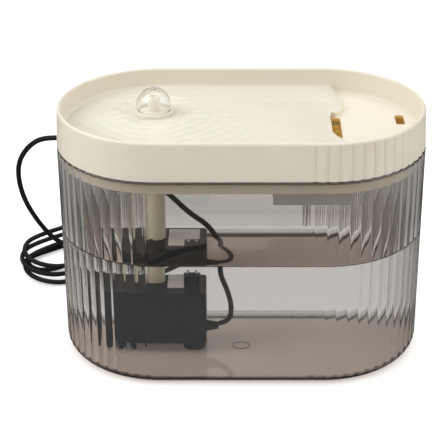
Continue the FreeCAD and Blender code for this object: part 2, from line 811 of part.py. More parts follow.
def coil_stations():
    """The coil's places and headings, from its start on top to its end on the floor."""
    stations = []
    for layer in range(coil_layers):
        z = coil_floor_z + coil_pitch * (coil_layers - 1 - layer)
        right = coil_right_centres[layer]
        left = coil_left_centres[layer]
        before = coil_left_centres[max(layer - 1, 0)]
        front = run_between(before, coil_left_r, right, coil_right_r)
        back = run_between(right, coil_right_r, left, coil_left_r)
        if layer > 0:
            stations.append((front[0], z, 0.0))
        stations.append((front[1], z, 0.0))
        stations.append((round_station(right, coil_right_r, halfway(front[1][1], back[0][1])), z, 0.0))
        stations.append((back[0], z, 0.0))
        stations.append((back[1], z, 0.0))
        if layer < coil_layers - 1:
            next_front = run_between(left, coil_left_r, coil_right_centres[layer + 1], coil_right_r)
            middle = halfway(back[1][1], next_front[0][1])
            drop = -coil_pitch / (math.pi * coil_left_r)
            stations.append((round_station(left, coil_left_r, middle), z - coil_pitch / 2, drop))
    return stations


def station_vectors(station):
    """A station as a point and a unit heading."""
    ((x, y), angle), z, rise = station
    heading = Vector(math.cos(angle), math.sin(angle), rise)
    heading.normalize()
    return Vector(x, y, z), heading


def coil_start():
    """Where the coil begins, on the top layer's front run, and its heading."""
    z = coil_floor_z + coil_pitch * (coil_layers - 1)
    run = run_between(coil_left_centres[0], coil_left_r, coil_right_centres[0], coil_right_r)
    first, heading = station_vectors((run[0], z, 0.0))
    last, heading_last = station_vectors((run[1], z, 0.0))
    heading = last - first
    heading.normalize()
    place = first + (last - first) * coil_start_share
    side = Vector(heading.y, -heading.x, 0)
    bulge = (last - first).Length / 2 * math.tan(coil_bow / 2)
    return place + side * bulge * 0.8, heading


def make_cord_coil():
    """The coil: one unbroken tube of stacked loops, straight for a diameter at its ends."""
    place, heading = coil_start()
    edges = [Part.LineSegment(place, place + heading * cord_d).toShape()]
    place = place + heading * cord_d
    radii = []
    for station in coil_stations():
        goal, goal_heading = station_vectors(station)
        arcs, arc_radii = biarc(place, heading, goal, goal_heading)
        edges += arcs
        radii += arc_radii
        place = goal
        heading = goal_heading
    edges.append(Part.LineSegment(place, place + heading * cord_d).toShape())
    print(f"cord_coil: least gap to itself {least_gap(edges):.2f}")
    return sweep_cord("cord_coil", edges, radii)


def least_gap(edges):
    """The least clear distance of the coil to itself, measured on points along it."""
    spacing = 1.5
    points = []
    for edge in edges:
        count = max(2, int(edge.Length / spacing))
        for index in range(count):
            share = index / count
            points.append(edge.valueAt(edge.FirstParameter + share * (edge.LastParameter - edge.FirstParameter)))
    skip = int(4 * cord_d / spacing)
    least = 1e9
    for index, point in enumerate(points):
        for other in points[index + skip:]:
            least = min(least, point.distanceToPoint(other))
    return least - cord_d


def coil_end():
    """Where the coil ends on the floor, and its heading."""
    place, heading = station_vectors(coil_stations()[-1])
    return place + heading * cord_d, heading


def plug_frame():
    """The start of the plug's relief and the plug's heading, inside the coil's loops."""
    left = coil_left_centres[-1]
    right = coil_right_centres[-1]
    angle = math.atan2(right[1] - left[1], right[0] - left[0])
    return left, angle


def plug_point(u, v, z):
    """A point given along and across the coil, from the last loop's left centre."""
    (x, y), angle = plug_frame()
    return (x + u * math.cos(angle) - v * math.sin(angle), y + u * math.sin(angle) + v * math.cos(angle), z)


def on_plug(shape):
    """Turn and move a shape made along +X from the origin to the plug's place."""
    angle = plug_frame()[1]
    placed = shape.copy()
    placed.rotate(Vector(0, 0, 0), Vector(0, 0, 1), math.degrees(angle))
    placed.translate(Vector(*plug_point(relief_start_u, plug_v, plug_thickness / 2)))
    return placed


def make_plug_relief():
    """The tapered sleeve between the cord and the plug."""
    relief = Part.makeCone(relief_tip_r, relief_r, relief_length, Vector(0, 0, 0), Vector(1, 0, 0))
    return on_plug(relief)


def make_plug_body():
    """The plug's moulded body."""
    half = plug_width / 2
    rise = plug_thickness / 2
    block = box(relief_length, relief_length + plug_length, -half, half, -rise, rise)
    edges = [edge for edge in block.Edges if edge.BoundBox.XLength > 1]
    return on_plug(block.makeFillet(plug_corner_r, edges))


def make_plug_shell():
    """The plug's metal sleeve, open at its end."""
    left = relief_length + plug_length
    half = shell_width / 2
    rise = shell_height / 2
    sleeve = box(left, left + shell_length, -half, half, -rise, rise)
    hollow = box(left, left + shell_length + cut_margin, shell_wall - half, half - shell_wall,
                 shell_wall - rise, rise - shell_wall)
    return on_plug(sleeve.cut(hollow))


def make_plug_tongue():
    """The contact tongue inside the metal sleeve."""
    left = relief_length + plug_length
    half = shell_width / 2 - shell_wall
    top = shell_height / 2 - shell_wall
    return on_plug(box(left, left + shell_length - tongue_inset, -half, half, top - tongue_thickness, top))


# The cord's routes. Each list starts and ends where the cord meets a piece that holds it.
cord_inside_route = [
    (pump_right - pump_wall, gland_y, gland_z),
    (-8.5, 2.6, 18.0),
    (-6.0, -1.0, 32.0),
    (-9.0, -6.0, 47.0),
    (-14.0, -13.0, 62.0),
    (-12.5, -21.0, 78.0),
    (-20.5, -19.5, 92.0),
    (-33.5, -11.5, 97.0),
    (-46.5, -2.0, 106.0),
    (-62.0, 3.5, 116.5),
    (-78.0, 7.0, 128.5),
    (-95.0, 9.2, 137.6),
    tuple(cord_exit_point(tank_rim_r)),
]

cord_outside_route = [
    tuple(cord_exit_point(tank_rim_r)),
    (-127.0, 16.0, 137.3),
    (-139.0, 26.0, 126.5),
    (-148.0, 38.0, 110.0),
    (-151.0, 51.0, 90.0),
    (-149.5, 65.0, 67.0),
    (-142.5, 79.0, 43.0),
    (-133.0, 89.5, 24.0),
    (-114.5, 92.0, 14.4),
    tuple(coil_start()[0]),
]

cord_tail_route = [
    tuple(coil_end()[0]),
    plug_point(-13.0, 24.0, coil_floor_z),
    plug_point(-19.5, 14.5, coil_floor_z),
    plug_point(-18.0, 3.0, coil_floor_z),
    plug_point(-8.0, -3.5, coil_floor_z + 0.3),
    plug_point(4.0, -5.0, plug_thickness / 2 - 0.6),
    plug_point(13.0, -3.6, plug_thickness / 2),
    plug_point(relief_start_u, plug_v, plug_thickness / 2),
]


def main():
    """Make every piece and write one file for each."""
    core = make_stator_core()
    felt_top = filter_bottom + filter_wall + felt_thickness
    pieces = {
        "tank": make_tank(),
        "rim_grommet": make_rim_grommet(),
        "tray": make_tray(),
        "tray_collar": make_tray_collar(),
        "filter_socket": make_filter_socket(),
        "riser_tube": make_riser_tube(),
        "spout_nozzle": make_spout_nozzle(),
        "spout_ball": make_spout_ball(),
        "filter_box": make_filter_box(),
        "filter_felt": filter_layer(filter_bottom + filter_wall, felt_top),
        "filter_granules": filter_layer(felt_top, felt_top + granule_depth),
        "pump_housing": make_pump_housing(),
        "motor_end_cap": make_motor_end_cap(),
        "stator_core": core,
        "stator_coil": make_stator_coil(core),
        "pump_head": make_pump_head(),
        "head_seal": make_head_seal(),
        "shaft_bush_front": make_shaft_bush(head_left, front_bush_right()),
        "shaft_bush_rear": make_shaft_bush(well_end() - bush_length, well_end()),
        "impeller_shaft": make_shaft(),
        "impeller": make_impeller(),
        "rotor_magnet": make_rotor_magnet(),
        "intake_cover": make_intake_cover(),
        "flow_slider": make_flow_slider(),
        "suction_feet": make_suction_feet(),
        "sensor_tower": make_sensor_tower(),
        "sensor_pins": make_sensor_pins(),
        "pump_label": make_pump_label(),
        "cable_gland": make_cable_gland(),
        "cord_inside": cord_tube("cord_inside", cord_inside_route),
        "cord_outside": cord_tube("cord_outside", cord_outside_route),
        "cord_coil": make_cord_coil(),
        "cord_tail": cord_tube("cord_tail", cord_tail_route),
        "plug_relief": make_plug_relief(),
        "plug_body": make_plug_body(),
        "plug_shell": make_plug_shell(),
        "plug_tongue": make_plug_tongue(),
    }
    os.makedirs("parts", exist_ok=True)
    for name, shape in pieces.items():
        print(f"{name}: {len(shape.Solids)} solid, {shape.Volume / 1000:.2f} cm3, valid {shape.isValid()}")
        shape.exportStep(f"parts/{name}.step")


main()
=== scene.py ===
import math

import bmesh
import bpy
from mathutils import Matrix, Vector, noise


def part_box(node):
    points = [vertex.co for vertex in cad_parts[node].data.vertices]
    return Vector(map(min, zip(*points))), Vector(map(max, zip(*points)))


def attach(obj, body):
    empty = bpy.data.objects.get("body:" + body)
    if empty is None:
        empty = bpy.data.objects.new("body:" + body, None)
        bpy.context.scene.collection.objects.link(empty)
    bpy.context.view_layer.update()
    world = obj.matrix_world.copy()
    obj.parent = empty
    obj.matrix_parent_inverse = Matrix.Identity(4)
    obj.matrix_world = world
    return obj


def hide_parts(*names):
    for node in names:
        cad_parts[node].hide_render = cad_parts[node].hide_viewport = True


bl_info = {
    "name": "Pet water fountain",
    "version": (1, 0, 0),
    "blender": (4, 5, 0),
    "location": "3D View > Sidebar > Fountain",
    "description": "Dresses the pet water fountain: ribbed tank, drinking tray, spout, pump, water and cord",
    "category": "Object",
}

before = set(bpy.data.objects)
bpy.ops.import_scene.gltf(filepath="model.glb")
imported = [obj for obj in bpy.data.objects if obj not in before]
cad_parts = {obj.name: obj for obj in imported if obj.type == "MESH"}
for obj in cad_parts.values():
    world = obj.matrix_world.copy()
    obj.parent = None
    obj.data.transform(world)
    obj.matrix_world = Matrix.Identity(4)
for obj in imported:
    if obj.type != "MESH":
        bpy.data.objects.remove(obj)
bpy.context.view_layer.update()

MM = 0.001

# Places read from the frame
tank_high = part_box("tank")[1]
tray_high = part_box("tray")[1]
riser_low, riser_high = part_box("riser_tube")
ball_low, ball_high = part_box("spout_ball")
nozzle_low, nozzle_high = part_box("spout_nozzle")
RIM_R = tank_high.y
END_X = tank_high.x - tank_high.y
TANK_TOP = tank_high.z
TRAY_TOP = tray_high.z
COLLAR_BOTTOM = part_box("tray_collar")[0].z
SPOUT_X = (riser_low.x + riser_high.x) / 2
SPOUT_Y = (riser_low.y + riser_high.y) / 2
RISER_R = (riser_high.x - riser_low.x) / 2

# The tank's foot, which is a little narrower than its rim
BASE_R = RIM_R - 0.5 * MM
TANK_LEAN = (RIM_R - BASE_R) / TANK_TOP
TANK_FILLET = 9.0 * MM
LOOP_GAP = 0.35 * MM

# The tray: its rim, its basin, and its drains as x, y, width and length in millimetres
TRAY_BASE_Z = TANK_TOP + 0.3 * MM
TRAY_RIM_R = RIM_R - 1.2 * MM
BASIN_TOP_R = TRAY_RIM_R - 2.4 * MM
BASIN_LOW_R = BASIN_TOP_R - 0.8 * MM
BASIN_FILLET = 3.0 * MM
FLOOR_THICKNESS = 2.2 * MM
TRAY_RIB_SHARE = 1.45
DRAIN_SLOT = (60.0, 0.0, 6.0, 33.0)
DRAIN_HOLE = (101.0, 13.5, 5.5, 15.0)

WHITE = (1.0, 1.0, 1.0)


class FountainSizes(bpy.types.PropertyGroup):
    """Sizes and colours that a user would change."""

    rib_depth: bpy.props.FloatProperty(
        name="Rib depth", description="How deep the grooves between the ribs are", default=0.75 * MM,
        min=0.0, unit="LENGTH")
    tank_wall: bpy.props.FloatProperty(
        name="Tank wall", description="Thickness of the clear wall", default=2.6 * MM,
        min=0.0005, unit="LENGTH")
    tank_floor: bpy.props.FloatProperty(
        name="Tank floor", description="Thickness of the clear floor", default=3.0 * MM,
        min=0.0005, unit="LENGTH")
    water_level: bpy.props.FloatProperty(
        name="Water level", description="Height of the water in the tank", default=84.4 * MM, unit="LENGTH")
    tray_floor: bpy.props.FloatProperty(
        name="Tray floor", description="Height of the tray's high floor", default=154.0 * MM, unit="LENGTH")
    tray_step: bpy.props.FloatProperty(
        name="Tray step", description="How much lower the right floor is", default=3.6 * MM, unit="LENGTH")
    ripple_height: bpy.props.FloatProperty(
        name="Ripples", description="Height of the ripples round the spout", default=0.7 * MM, unit="LENGTH")
    cream: bpy.props.FloatVectorProperty(
        name="Cream", description="Colour of the tray and the riser", subtype="COLOR", size=3,
        default=(0.88, 0.825, 0.71), min=0.0, max=1.0)
    smoke: bpy.props.FloatVectorProperty(
        name="Smoke", description="Tint of the clear tank", subtype="COLOR", size=3,
        default=(0.897, 0.872, 0.85), min=0.0, max=1.0)
    black: bpy.props.FloatVectorProperty(
        name="Black", description="Colour of the pump", subtype="COLOR", size=3,
        default=(0.004, 0.004, 0.007), min=0.0, max=1.0)


class Wire:
    """A shader socket that can be used in sums."""

    def __init__(self, nodes, socket):
        self.nodes = nodes
        self.socket = socket

    def __add__(self, other):
        return self.nodes.maths("ADD", self, other)

    def __mul__(self, other):
        return self.nodes.maths("MULTIPLY", self, other)

    def __sub__(self, other):
        return self.nodes.maths("SUBTRACT", self, other)

    def __rsub__(self, other):
        return self.nodes.maths("SUBTRACT", other, self)

    def at_least(self, other):
        return self.nodes.maths("MAXIMUM", self, other)

    def size(self):
        return self.nodes.maths("ABSOLUTE", self, 0.0)

    def root(self):
        return self.nodes.maths("SQRT", self, 0.0)

    def between(self, low, high):
        """Stretch a 0 to 1 value to a range."""
        return self * (high - low) + low


class Nodes:
    """The shader nodes of a material or of the world, under construction."""

    def __init__(self, tree):
        self.tree = tree

    def feed(self, node, sockets):
        """Feed a node's sockets from wires or plain values."""
        for key, value in sockets.items():
            if isinstance(value, Wire):
                self.tree.links.new(value.socket, node.inputs[key])
            else:
                node.inputs[key].default_value = value

    def node(self, kind, settings=None, sockets=None, output=0):
        """Add a node, set it up, feed its sockets, and give back one output."""
        node = self.tree.nodes.new(kind)
        for key, value in (settings or {}).items():
            setattr(node, key, value)
        self.feed(node, sockets or {})
        return Wire(self, node.outputs[output])

    def maths(self, operation, first, second):
        return self.node("ShaderNodeMath", {"operation": operation}, {0: first, 1: second})

    def rise(self, value, low, high, ends=(0.0, 1.0), kind="LINEAR"):
        """How far a value has come from a low limit to a high one, between two ends."""
        return self.node("ShaderNodeMapRange", {"interpolation_type": kind}, {
            "Value": value, "From Min": low, "From Max": high, "To Min": ends[0], "To Max": ends[1]})

    def ray(self, kind):
        """1 for rays of a kind, 0 for others."""
        return self.node("ShaderNodeLightPath", output=f"Is {kind} Ray")

    def ramp(self, value, stops):
        """A colour ramp through (place, colour) stops."""
        node = self.tree.nodes.new("ShaderNodeValToRGB")
        elements = node.color_ramp.elements
        while len(elements) < len(stops):
            elements.new(0.5)
        for element, (place, colour) in zip(elements, stops):
            element.position = place
            element.color = (*colour, 1.0)
        self.feed(node, {0: value})
        return Wire(self, node.outputs[0])

    def multiplied(self, first, second):
        """Two colours multiplied."""
        return self.node("ShaderNodeMix", {"data_type": "RGBA", "blend_type": "MULTIPLY"}, {
            0: 1.0, 6: first, 7: second}, output=2)


class Finish(Nodes):
    """A material under construction."""

    def __init__(self, name):
        self.material = bpy.data.materials.new(name)
        self.material.use_nodes = True
        super().__init__(self.material.node_tree)
        self.tree.nodes.clear()

    def object_place(self):
        return self.node("ShaderNodeTexCoord", output="Object")

    def axis(self, letter):
        """A place's measure along one axis, in metres."""
        return self.node("ShaderNodeSeparateXYZ", {}, {0: self.object_place()}, output=letter)

    def stretched(self, scale):
        return self.node("ShaderNodeMapping", {}, {"Vector": self.object_place(), "Scale": scale})

    def noise(self, scale, detail=3.0, place=None):
        return self.node("ShaderNodeTexNoise", {}, {
            "Vector": place or self.object_place(), "Scale": scale, "Detail": detail})

    def from_outline(self):
        """How far a place is outside the tank's outline, seen from above, in metres."""
        beyond = (self.axis("X").size() - END_X).at_least(0.0)
        deep = self.axis("Y")
        return (beyond * beyond + deep * deep).root() - RIM_R

    def bump(self, height, strength, distance):
        return self.node("ShaderNodeBump", {}, {
            "Height": height, "Strength": strength, "Distance": distance})

    def surface(self, sockets):
        return self.node("ShaderNodeBsdfPrincipled", {}, sockets)

    def done(self, shader):
        end = self.tree.nodes.new("ShaderNodeOutputMaterial")
        self.feed(end, {"Surface": shader})
        return self.material

    def clear(self, shade, sockets):
        """A clear surface that lets lamp light through with a light shade."""
        glass = self.surface({"Transmission Weight": 1.0, **sockets})
        through = self.node("ShaderNodeBsdfTransparent", {}, {"Color": (*shade, 1.0)})
        return self.done(self.node("ShaderNodeMixShader", {}, {0: self.ray("Shadow"), 1: glass, 2: through}))


def darker(colour, share):
    """A colour times a share."""
    return tuple(part * share for part in colour)


def near_drains(f, low_floor):
    """1 inside the tray's drains and on its underside near them, 0 elsewhere: where the painted amber bounce
    light goes.
    """
    above = f.rise(f.axis("Z"), low_floor - 0.9 * MM, low_floor - 0.35 * MM)
    side = f.axis("X")
    by_hole = f.rise(side, 74.0 * MM, 92.0 * MM)
    by_slot = f.maths("LESS_THAN", (side - DRAIN_SLOT[0] * MM).size(), 5.0 * MM)
    inside = f.maths("LESS_THAN", f.from_outline(), -4.2 * MM)
    return (1.0 - above) * by_hole.at_least(by_slot) * inside


def cream_finish(name, cream, painted_bounce_colour=None, low_floor=0.0):
    """Satin cream moulding. The painted bounce colour is amber painted in place of bounce light in its
    drains below the low floor, glowing a little by emission.
    """
    f = Finish(name)
    patches = f.ramp(f.noise(9.0), [(0.3, (0.975, 0.975, 0.975)), (0.7, WHITE)])
    light = (*cream, 1.0)
    sockets = {
        "Roughness": f.noise(60.0).between(0.26, 0.36), "IOR": 1.5,
        "Subsurface Weight": 0.12, "Subsurface Radius": (0.006, 0.0045, 0.003), "Subsurface Scale": 0.5,
        "Normal": f.bump(f.noise(2600.0, 2.0), 0.06, 0.00004)}
    if painted_bounce_colour:
        # Painted bounce light: amber tint and a faint emission in and under the drains
        amber = near_drains(f, low_floor)
        light = f.ramp(amber, [(0.0, cream), (1.0, painted_bounce_colour)])
        sockets["Emission Color"] = f.ramp(amber, [(0.0, (0.0, 0.0, 0.0)), (1.0, painted_bounce_colour)])
        sockets["Emission Strength"] = 0.11
    sockets["Base Color"] = f.multiplied(light, patches)
    return f.done(f.surface(sockets))


def tank_finish(smoke):
    """Clear smoky moulding with faint flow marks, darker at its upper edge and its lower one, where shade is
    painted.
    """
    f = Finish("smoky_clear")
    waves = f.noise(26.0, 2.0, f.stretched((1.0, 1.0, 0.35)))
    height = f.axis("Z")
    # Painted shade: a dark line low on the walls, and a near-black band at the top edge for the seam under
    # the tray
    line = darker(smoke, 0.45)
    levels = [(3.1 * MM, smoke), (3.2 * MM, line), (3.7 * MM, line), (4.0 * MM, smoke),
              (TANK_TOP - 1.6 * MM, smoke), (TANK_TOP - 1.1 * MM, darker(smoke, 0.15))]
    level_painted_shade = f.ramp(height * (1 / TANK_TOP), [(z / TANK_TOP, tone) for z, tone in levels])
    # Painted shade on the outer foot below 5.6 mm, stronger towards the front
    above = f.rise(height, 3.0 * MM, 5.6 * MM)
    front_shade_share = f.rise(f.axis("Y"), -20.0 * MM, 30.0 * MM, (1.0, 0.3))
    outer = f.maths("GREATER_THAN", f.from_outline() + height, -7.5 * MM) * front_shade_share
    painted_foot_shade = f.ramp((1.0 - above) * outer, [(0.0, WHITE), (1.0, (0.16, 0.15, 0.14))])
    return f.clear((0.86, 0.84, 0.82), {
        "Base Color": f.multiplied(level_painted_shade, painted_foot_shade), "Roughness": 0.0, "IOR": 1.49,
        "Normal": f.bump(waves, 0.05, 0.0004)})


def base_finish():
    """The tank's frosted underside, seen through its clear floor: its brown is a painted shadow of the
    ground, it shines a little by emission, and it has a painted dark shade ring at its edge.
    """
    f = Finish("base_painted_shadow")
    painted_ground_shadow = f.ramp(f.noise(35.0), [(0.3, (0.84, 0.73, 0.67)), (0.7, (0.90, 0.78, 0.72))])
    # Painted shade: a dark ring round the underside's edge
    edge = f.rise(f.from_outline(), -12.0 * MM, -10.0 * MM)
    tone = f.multiplied(painted_ground_shadow, f.ramp(edge, [(0.0, WHITE), (1.0, (0.06, 0.055, 0.05))]))
    # The emission is painted light that lifts the painted shadow
    return f.done(f.surface({
        "Base Color": tone, "Roughness": 0.6, "Specular IOR Level": 0.2,
        "Emission Color": tone, "Emission Strength": 0.10,
        "Normal": f.bump(f.noise(700.0), 0.1, 0.00005)}))


def ball_finish():
    """Clear polished moulding."""
    f = Finish("clear_plastic")
    return f.clear((0.70, 0.70, 0.70), {
        "Base Color": (0.985, 0.99, 0.99, 1.0), "Roughness": 0.0, "IOR": 1.38, "Transmission Weight": 0.95,
        "Normal": f.bump(f.noise(90.0, 2.0), 0.04, 0.0003)})


def filter_finish():
    """Cloudy pale blue-grey moulding."""
    f = Finish("pale_clear")
    tone = f.ramp(f.noise(40.0), [(0.3, (0.90, 0.94, 0.97)), (0.7, (0.95, 0.98, 1.0))])
    return f.clear((0.7, 0.72, 0.72), {
        "Base Color": tone, "Roughness": 0.3, "IOR": 1.49, "Transmission Weight": 0.4,
        "Normal": f.bump(f.noise(900.0), 0.05, 0.00005)})


def water_finish(name, shade, line_z):
    """Clean water, with a painted dark shade line where it climbs the wall above a height."""
    f = Finish(name)
    meniscus_shade_mask = f.rise(f.axis("Z"), line_z + 0.15 * MM, line_z + 0.35 * MM)
    # Painted shade: near-black tint on the meniscus above the line
    tint = f.ramp(meniscus_shade_mask, [(0.0, (0.985, 0.99, 0.985)), (1.0, (0.12, 0.115, 0.11))])
    return f.clear(shade, {"Base Color": tint, "Roughness": 0.0, "IOR": 1.333})


def black_finish(name, colour, low_rough, high_rough, grain):
    """A black moulding with a fine grain."""
    f = Finish(name)
    tone = f.ramp(f.noise(45.0), [(0.3, darker(colour, 0.8)), (0.7, darker(colour, 1.25))])
    fine = f.noise(grain, 3.0)
    return f.done(f.surface({
        "Base Color": tone, "Roughness": f.noise(120.0).between(low_rough, high_rough),
        "Specular IOR Level": 0.08, "Normal": f.bump(fine, 0.25, 0.00006)}))


def plain_finish(name, low, high, rough, metallic=0.0, scale=80.0, bump=0.1):
    """A finish with two tones mixed by a fine noise."""
    f = Finish(name)
    grain = f.noise(scale, 4.0)
    tone = f.ramp(grain, [(0.35, low), (0.65, high)])
    return f.done(f.surface({
        "Base Color": tone, "Roughness": grain.between(rough * 0.85, rough * 1.15), "Metallic": metallic,
        "Normal": f.bump(grain, bump, 0.0001)}))


def granule_finish():
    """Packed amber and brown granules, lit up by painted light from their emission."""
    f = Finish("filter_granules")
    cells = {"Vector": f.object_place(), "Scale": 900.0}
    shades = f.node("ShaderNodeTexVoronoi", {}, cells, output="Color")
    split = f.node("ShaderNodeSeparateColor", {}, {0: shades})
    tone = f.ramp(split, [(0.0, (0.45, 0.20, 0.03)), (0.5, (0.80, 0.48, 0.09)), (1.0, (0.92, 0.66, 0.2))])
    bumps = f.node("ShaderNodeTexVoronoi", {}, cells)
    return f.done(f.surface({
        "Base Color": tone, "Roughness": 0.45, "Emission Color": tone, "Emission Strength": 0.35,
        "Normal": f.bump(bumps, 0.6, 0.0004)}))


def rib_dent(across):
    """How deep the wall dips, as a share, across one rib: none in its middle, all at the groove."""
    return abs(2 * across - 1) ** 2.6


def outline_stations(count):
    """Places round the outline: centre, outward heading, and the ribs' dip on the tank and on the tray.

    The right end's grooves start one rib before the round, and the left end's one rib after it.
    """
    per_rib = 10
    straight = 26
    pitch = math.pi * RIM_R / count
    ribbed_start = END_X - pitch
    bare_end = ribbed_start - pitch / 2
    front = []
    for step in range(straight):
        share = (1 - math.cos(math.pi * step / straight)) / 2
        front.append((-END_X + (bare_end + END_X) * share, 0.0))
    for step in range(per_rib + per_rib // 2):
        across = (step + per_rib // 2) / per_rib
        front.append((bare_end + pitch * step / per_rib, rib_dent(across % 1)))
    stations = [(x, 0.0, -1.0, dent, dent) for x, dent in front]
    steps = count * per_rib
    for step in range(steps):
        angle = math.pi * (step / steps - 0.5)
        dent = rib_dent(step % per_rib / per_rib)
        stations.append((END_X, math.cos(angle), math.sin(angle), dent, dent))
    stations.append((END_X, 0.0, 1.0, 1.0, 1.0))
    stations += [(x, 0.0, 1.0, dent, dent) for x, dent in reversed(front[1:])]
    for step in range(steps):
        angle = math.pi * (step / steps + 0.5)
        bare = step < per_rib // 2 or step > steps - per_rib // 2
        dent = 0.0 if bare else rib_dent(step % per_rib / per_rib)
        stations.append((-END_X, math.cos(angle), math.sin(angle), dent, 0.0))
    return stations


STATIONS = outline_stations(28)


def ring_points(radius, z, rib=0.0, tray=False):
    """One level loop of the rounded outline, in metres."""
    points = []
    for centre_x, side_x, side_y, tank_dent, tray_dent in STATIONS:
        reach = radius - rib * (tray_dent if tray else tank_dent)
        points.append(Vector((centre_x + reach * side_x, reach * side_y, z)))
    return points


def new_object(name, data):
    """An object at the origin, linked to the scene."""
    piece = bpy.data.objects.new(name, data)
    bpy.context.scene.collection.objects.link(piece)
    return piece


def new_mesh_object(name, bm, sharp_angle=40.0):
    """Turn a finished bmesh into a shaded object at the origin."""
    mesh = bpy.data.meshes.new(name)
    bmesh.ops.remove_doubles(bm, verts=bm.verts, dist=1e-7)
    bmesh.ops.recalc_face_normals(bm, faces=bm.faces)
    bm.to_mesh(mesh)
    bm.free()
    mesh.shade_smooth()
    mesh.set_sharp_from_angle(angle=math.radians(sharp_angle))
    return new_object(name, mesh)


def extrude_through(bm, rings):
    """Carry a closed loop of edges through loops of equal length. Gives the first and the last."""
    verts = [bm.verts.new(place) for place in rings[0]]
    first = [bm.edges.new((verts[i - 1], verts[i])) for i in range(len(verts))]
    edges = first
    for ring in rings[1:]:
        made = bmesh.ops.extrude_edge_only(bm, edges=edges)["geom"]
        fresh = {item for item in made if isinstance(item, bmesh.types.BMVert)}
        edges = [item for item in made if isinstance(item, bmesh.types.BMEdge)
                 and item.verts[0] in fresh and item.verts[1] in fresh]
        moved = []
        for vert, place in zip(verts, ring):
            above = next(edge.other_vert(vert) for edge in vert.link_edges if edge.other_vert(vert) in fresh)
            above.co = place
            moved.append(above)
        verts = moved
    return first, edges


def loft(name, rings, closed_on_itself=False, sharp_angle=40.0):
    """A solid through level loops, capped at both ends, or a ring that closes on itself."""
    bm = bmesh.new()
    first, last = extrude_through(bm, rings)
    if not closed_on_itself:
        bmesh.ops.contextual_create(bm, geom=first)
        bmesh.ops.contextual_create(bm, geom=last)
    return new_mesh_object(name, bm, sharp_angle)


def spun(name, outline, centre, steps=96, sharp_angle=40.0):
    """A closed outline of (radius, height) points spun round an upright axis."""
    bm = bmesh.new()
    verts = [bm.verts.new((centre[0] + radius, centre[1], height)) for radius, height in outline]
    edges = [bm.edges.new((verts[i - 1], verts[i])) for i in range(len(verts))]
    bmesh.ops.spin(bm, geom=verts + edges, cent=(centre[0], centre[1], 0.0), axis=(0, 0, 1),
                   angle=2 * math.pi, steps=steps, use_merge=True)
    return new_mesh_object(name, bm, sharp_angle)


def arc_points(centre, radius, start_deg, end_deg, steps):
    """Points on an arc, as (across, up) pairs."""
    points = []
    for step in range(steps + 1):
        angle = math.radians(start_deg + (end_deg - start_deg) * step / steps)
        points.append((centre[0] + radius * math.cos(angle), centre[1] + radius * math.sin(angle)))
    return points


def bake_modifiers(piece):
    """Replace a piece's mesh by what its modifiers make of it."""
    graph = bpy.context.evaluated_depsgraph_get()
    mesh = bpy.data.meshes.new_from_object(piece.evaluated_get(graph))
    piece.modifiers.clear()
    old = piece.data
    piece.data = mesh
    bpy.data.meshes.remove(old)


def carve(piece, cutter):
    """Cut a piece by another, and drop the other."""
    change = piece.modifiers.new("carve", "BOOLEAN")
    change.operation = "DIFFERENCE"
    change.solver = "EXACT"
    change.object = cutter
    bpy.context.view_layer.update()
    bake_modifiers(piece)
    bpy.data.objects.remove(cutter)


def finish_piece(piece, material, body, node=None):
    """Give a piece its material, its body, and the node that it stands for."""
    piece.data.materials.clear()
    piece.data.materials.append(material)
    if node:
        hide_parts(*([node] if isinstance(node, str) else node))
    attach(piece, body)


# The step between the tray's floors, seen from above: depth and side in millimetres
STEP_STOPS = (
    (-65.0, 76.5), (-45.5, 72.0), (-29.5, 65.0), (-21.0, 60.0), (-13.0, 57.0), (0.0, 56.7), (13.0, 57.2),
    (19.5, 62.5), (29.5, 65.7), (46.5, 63.5), (65.0, 60.0),
)


def step_line(y, shift):
    """How far right the tray's step runs at a depth."""
    depth = y / MM
    last = len(STEP_STOPS) - 1
    index = 0
    while index < last - 1 and depth > STEP_STOPS[index + 1][0]:
        index += 1
    y0, x0 = STEP_STOPS[index]
    y1, x1 = STEP_STOPS[index + 1]
    before = STEP_STOPS[max(index - 1, 0)]
    after = STEP_STOPS[min(index + 2, last)]
    slope0 = (x1 - before[1]) / (y1 - before[0])
    slope1 = (after[1] - x0) / (after[0] - y0)
    width = y1 - y0
    t = min(max((depth - y0) / width, 0.0), 1.0)
    start = (1 + 2 * t) * (1 - t) ** 2 * x0 + t * (1 - t) ** 2 * width * slope0
    end = t * t * (3 - 2 * t) * x1 + t * t * (t - 1) * width * slope1
    return (start + end) * MM + shift


def meeting_depth(radius, shift, side):
    """The depth at which the step line meets the tray's round wall."""
    low = 0.0
    high = radius
    for _ in range(40):
        middle = (low + high) / 2
        wall = END_X + math.sqrt(max(radius ** 2 - middle ** 2, 0.0))
        if step_line(side * middle, shift) < wall:
            low = middle
        else:
            high = middle
    return side * low


def round_point(x, y, radius, angle, z):
    """A point at an angle round a centre."""
    return Vector((x + radius * math.cos(angle), y + radius * math.sin(angle), z))


def low_side_ring(radius, shift, z):
    """A loop round the low floor: down the step line, then round the right end."""
    back = meeting_depth(radius, shift, 1)
    front = meeting_depth(radius, shift, -1)
    points = []
    for step in range(90):
        y = back + (front - back) * step / 90
        points.append(Vector((step_line(y, shift), y, z)))
    start = math.atan2(front, step_line(front, shift) - END_X)
    end = math.atan2(back, step_line(back, shift) - END_X)
    for step in range(90):
        angle = start + (end - start) * step / 90
        points.append(round_point(END_X, 0.0, radius, angle, z))
    return points


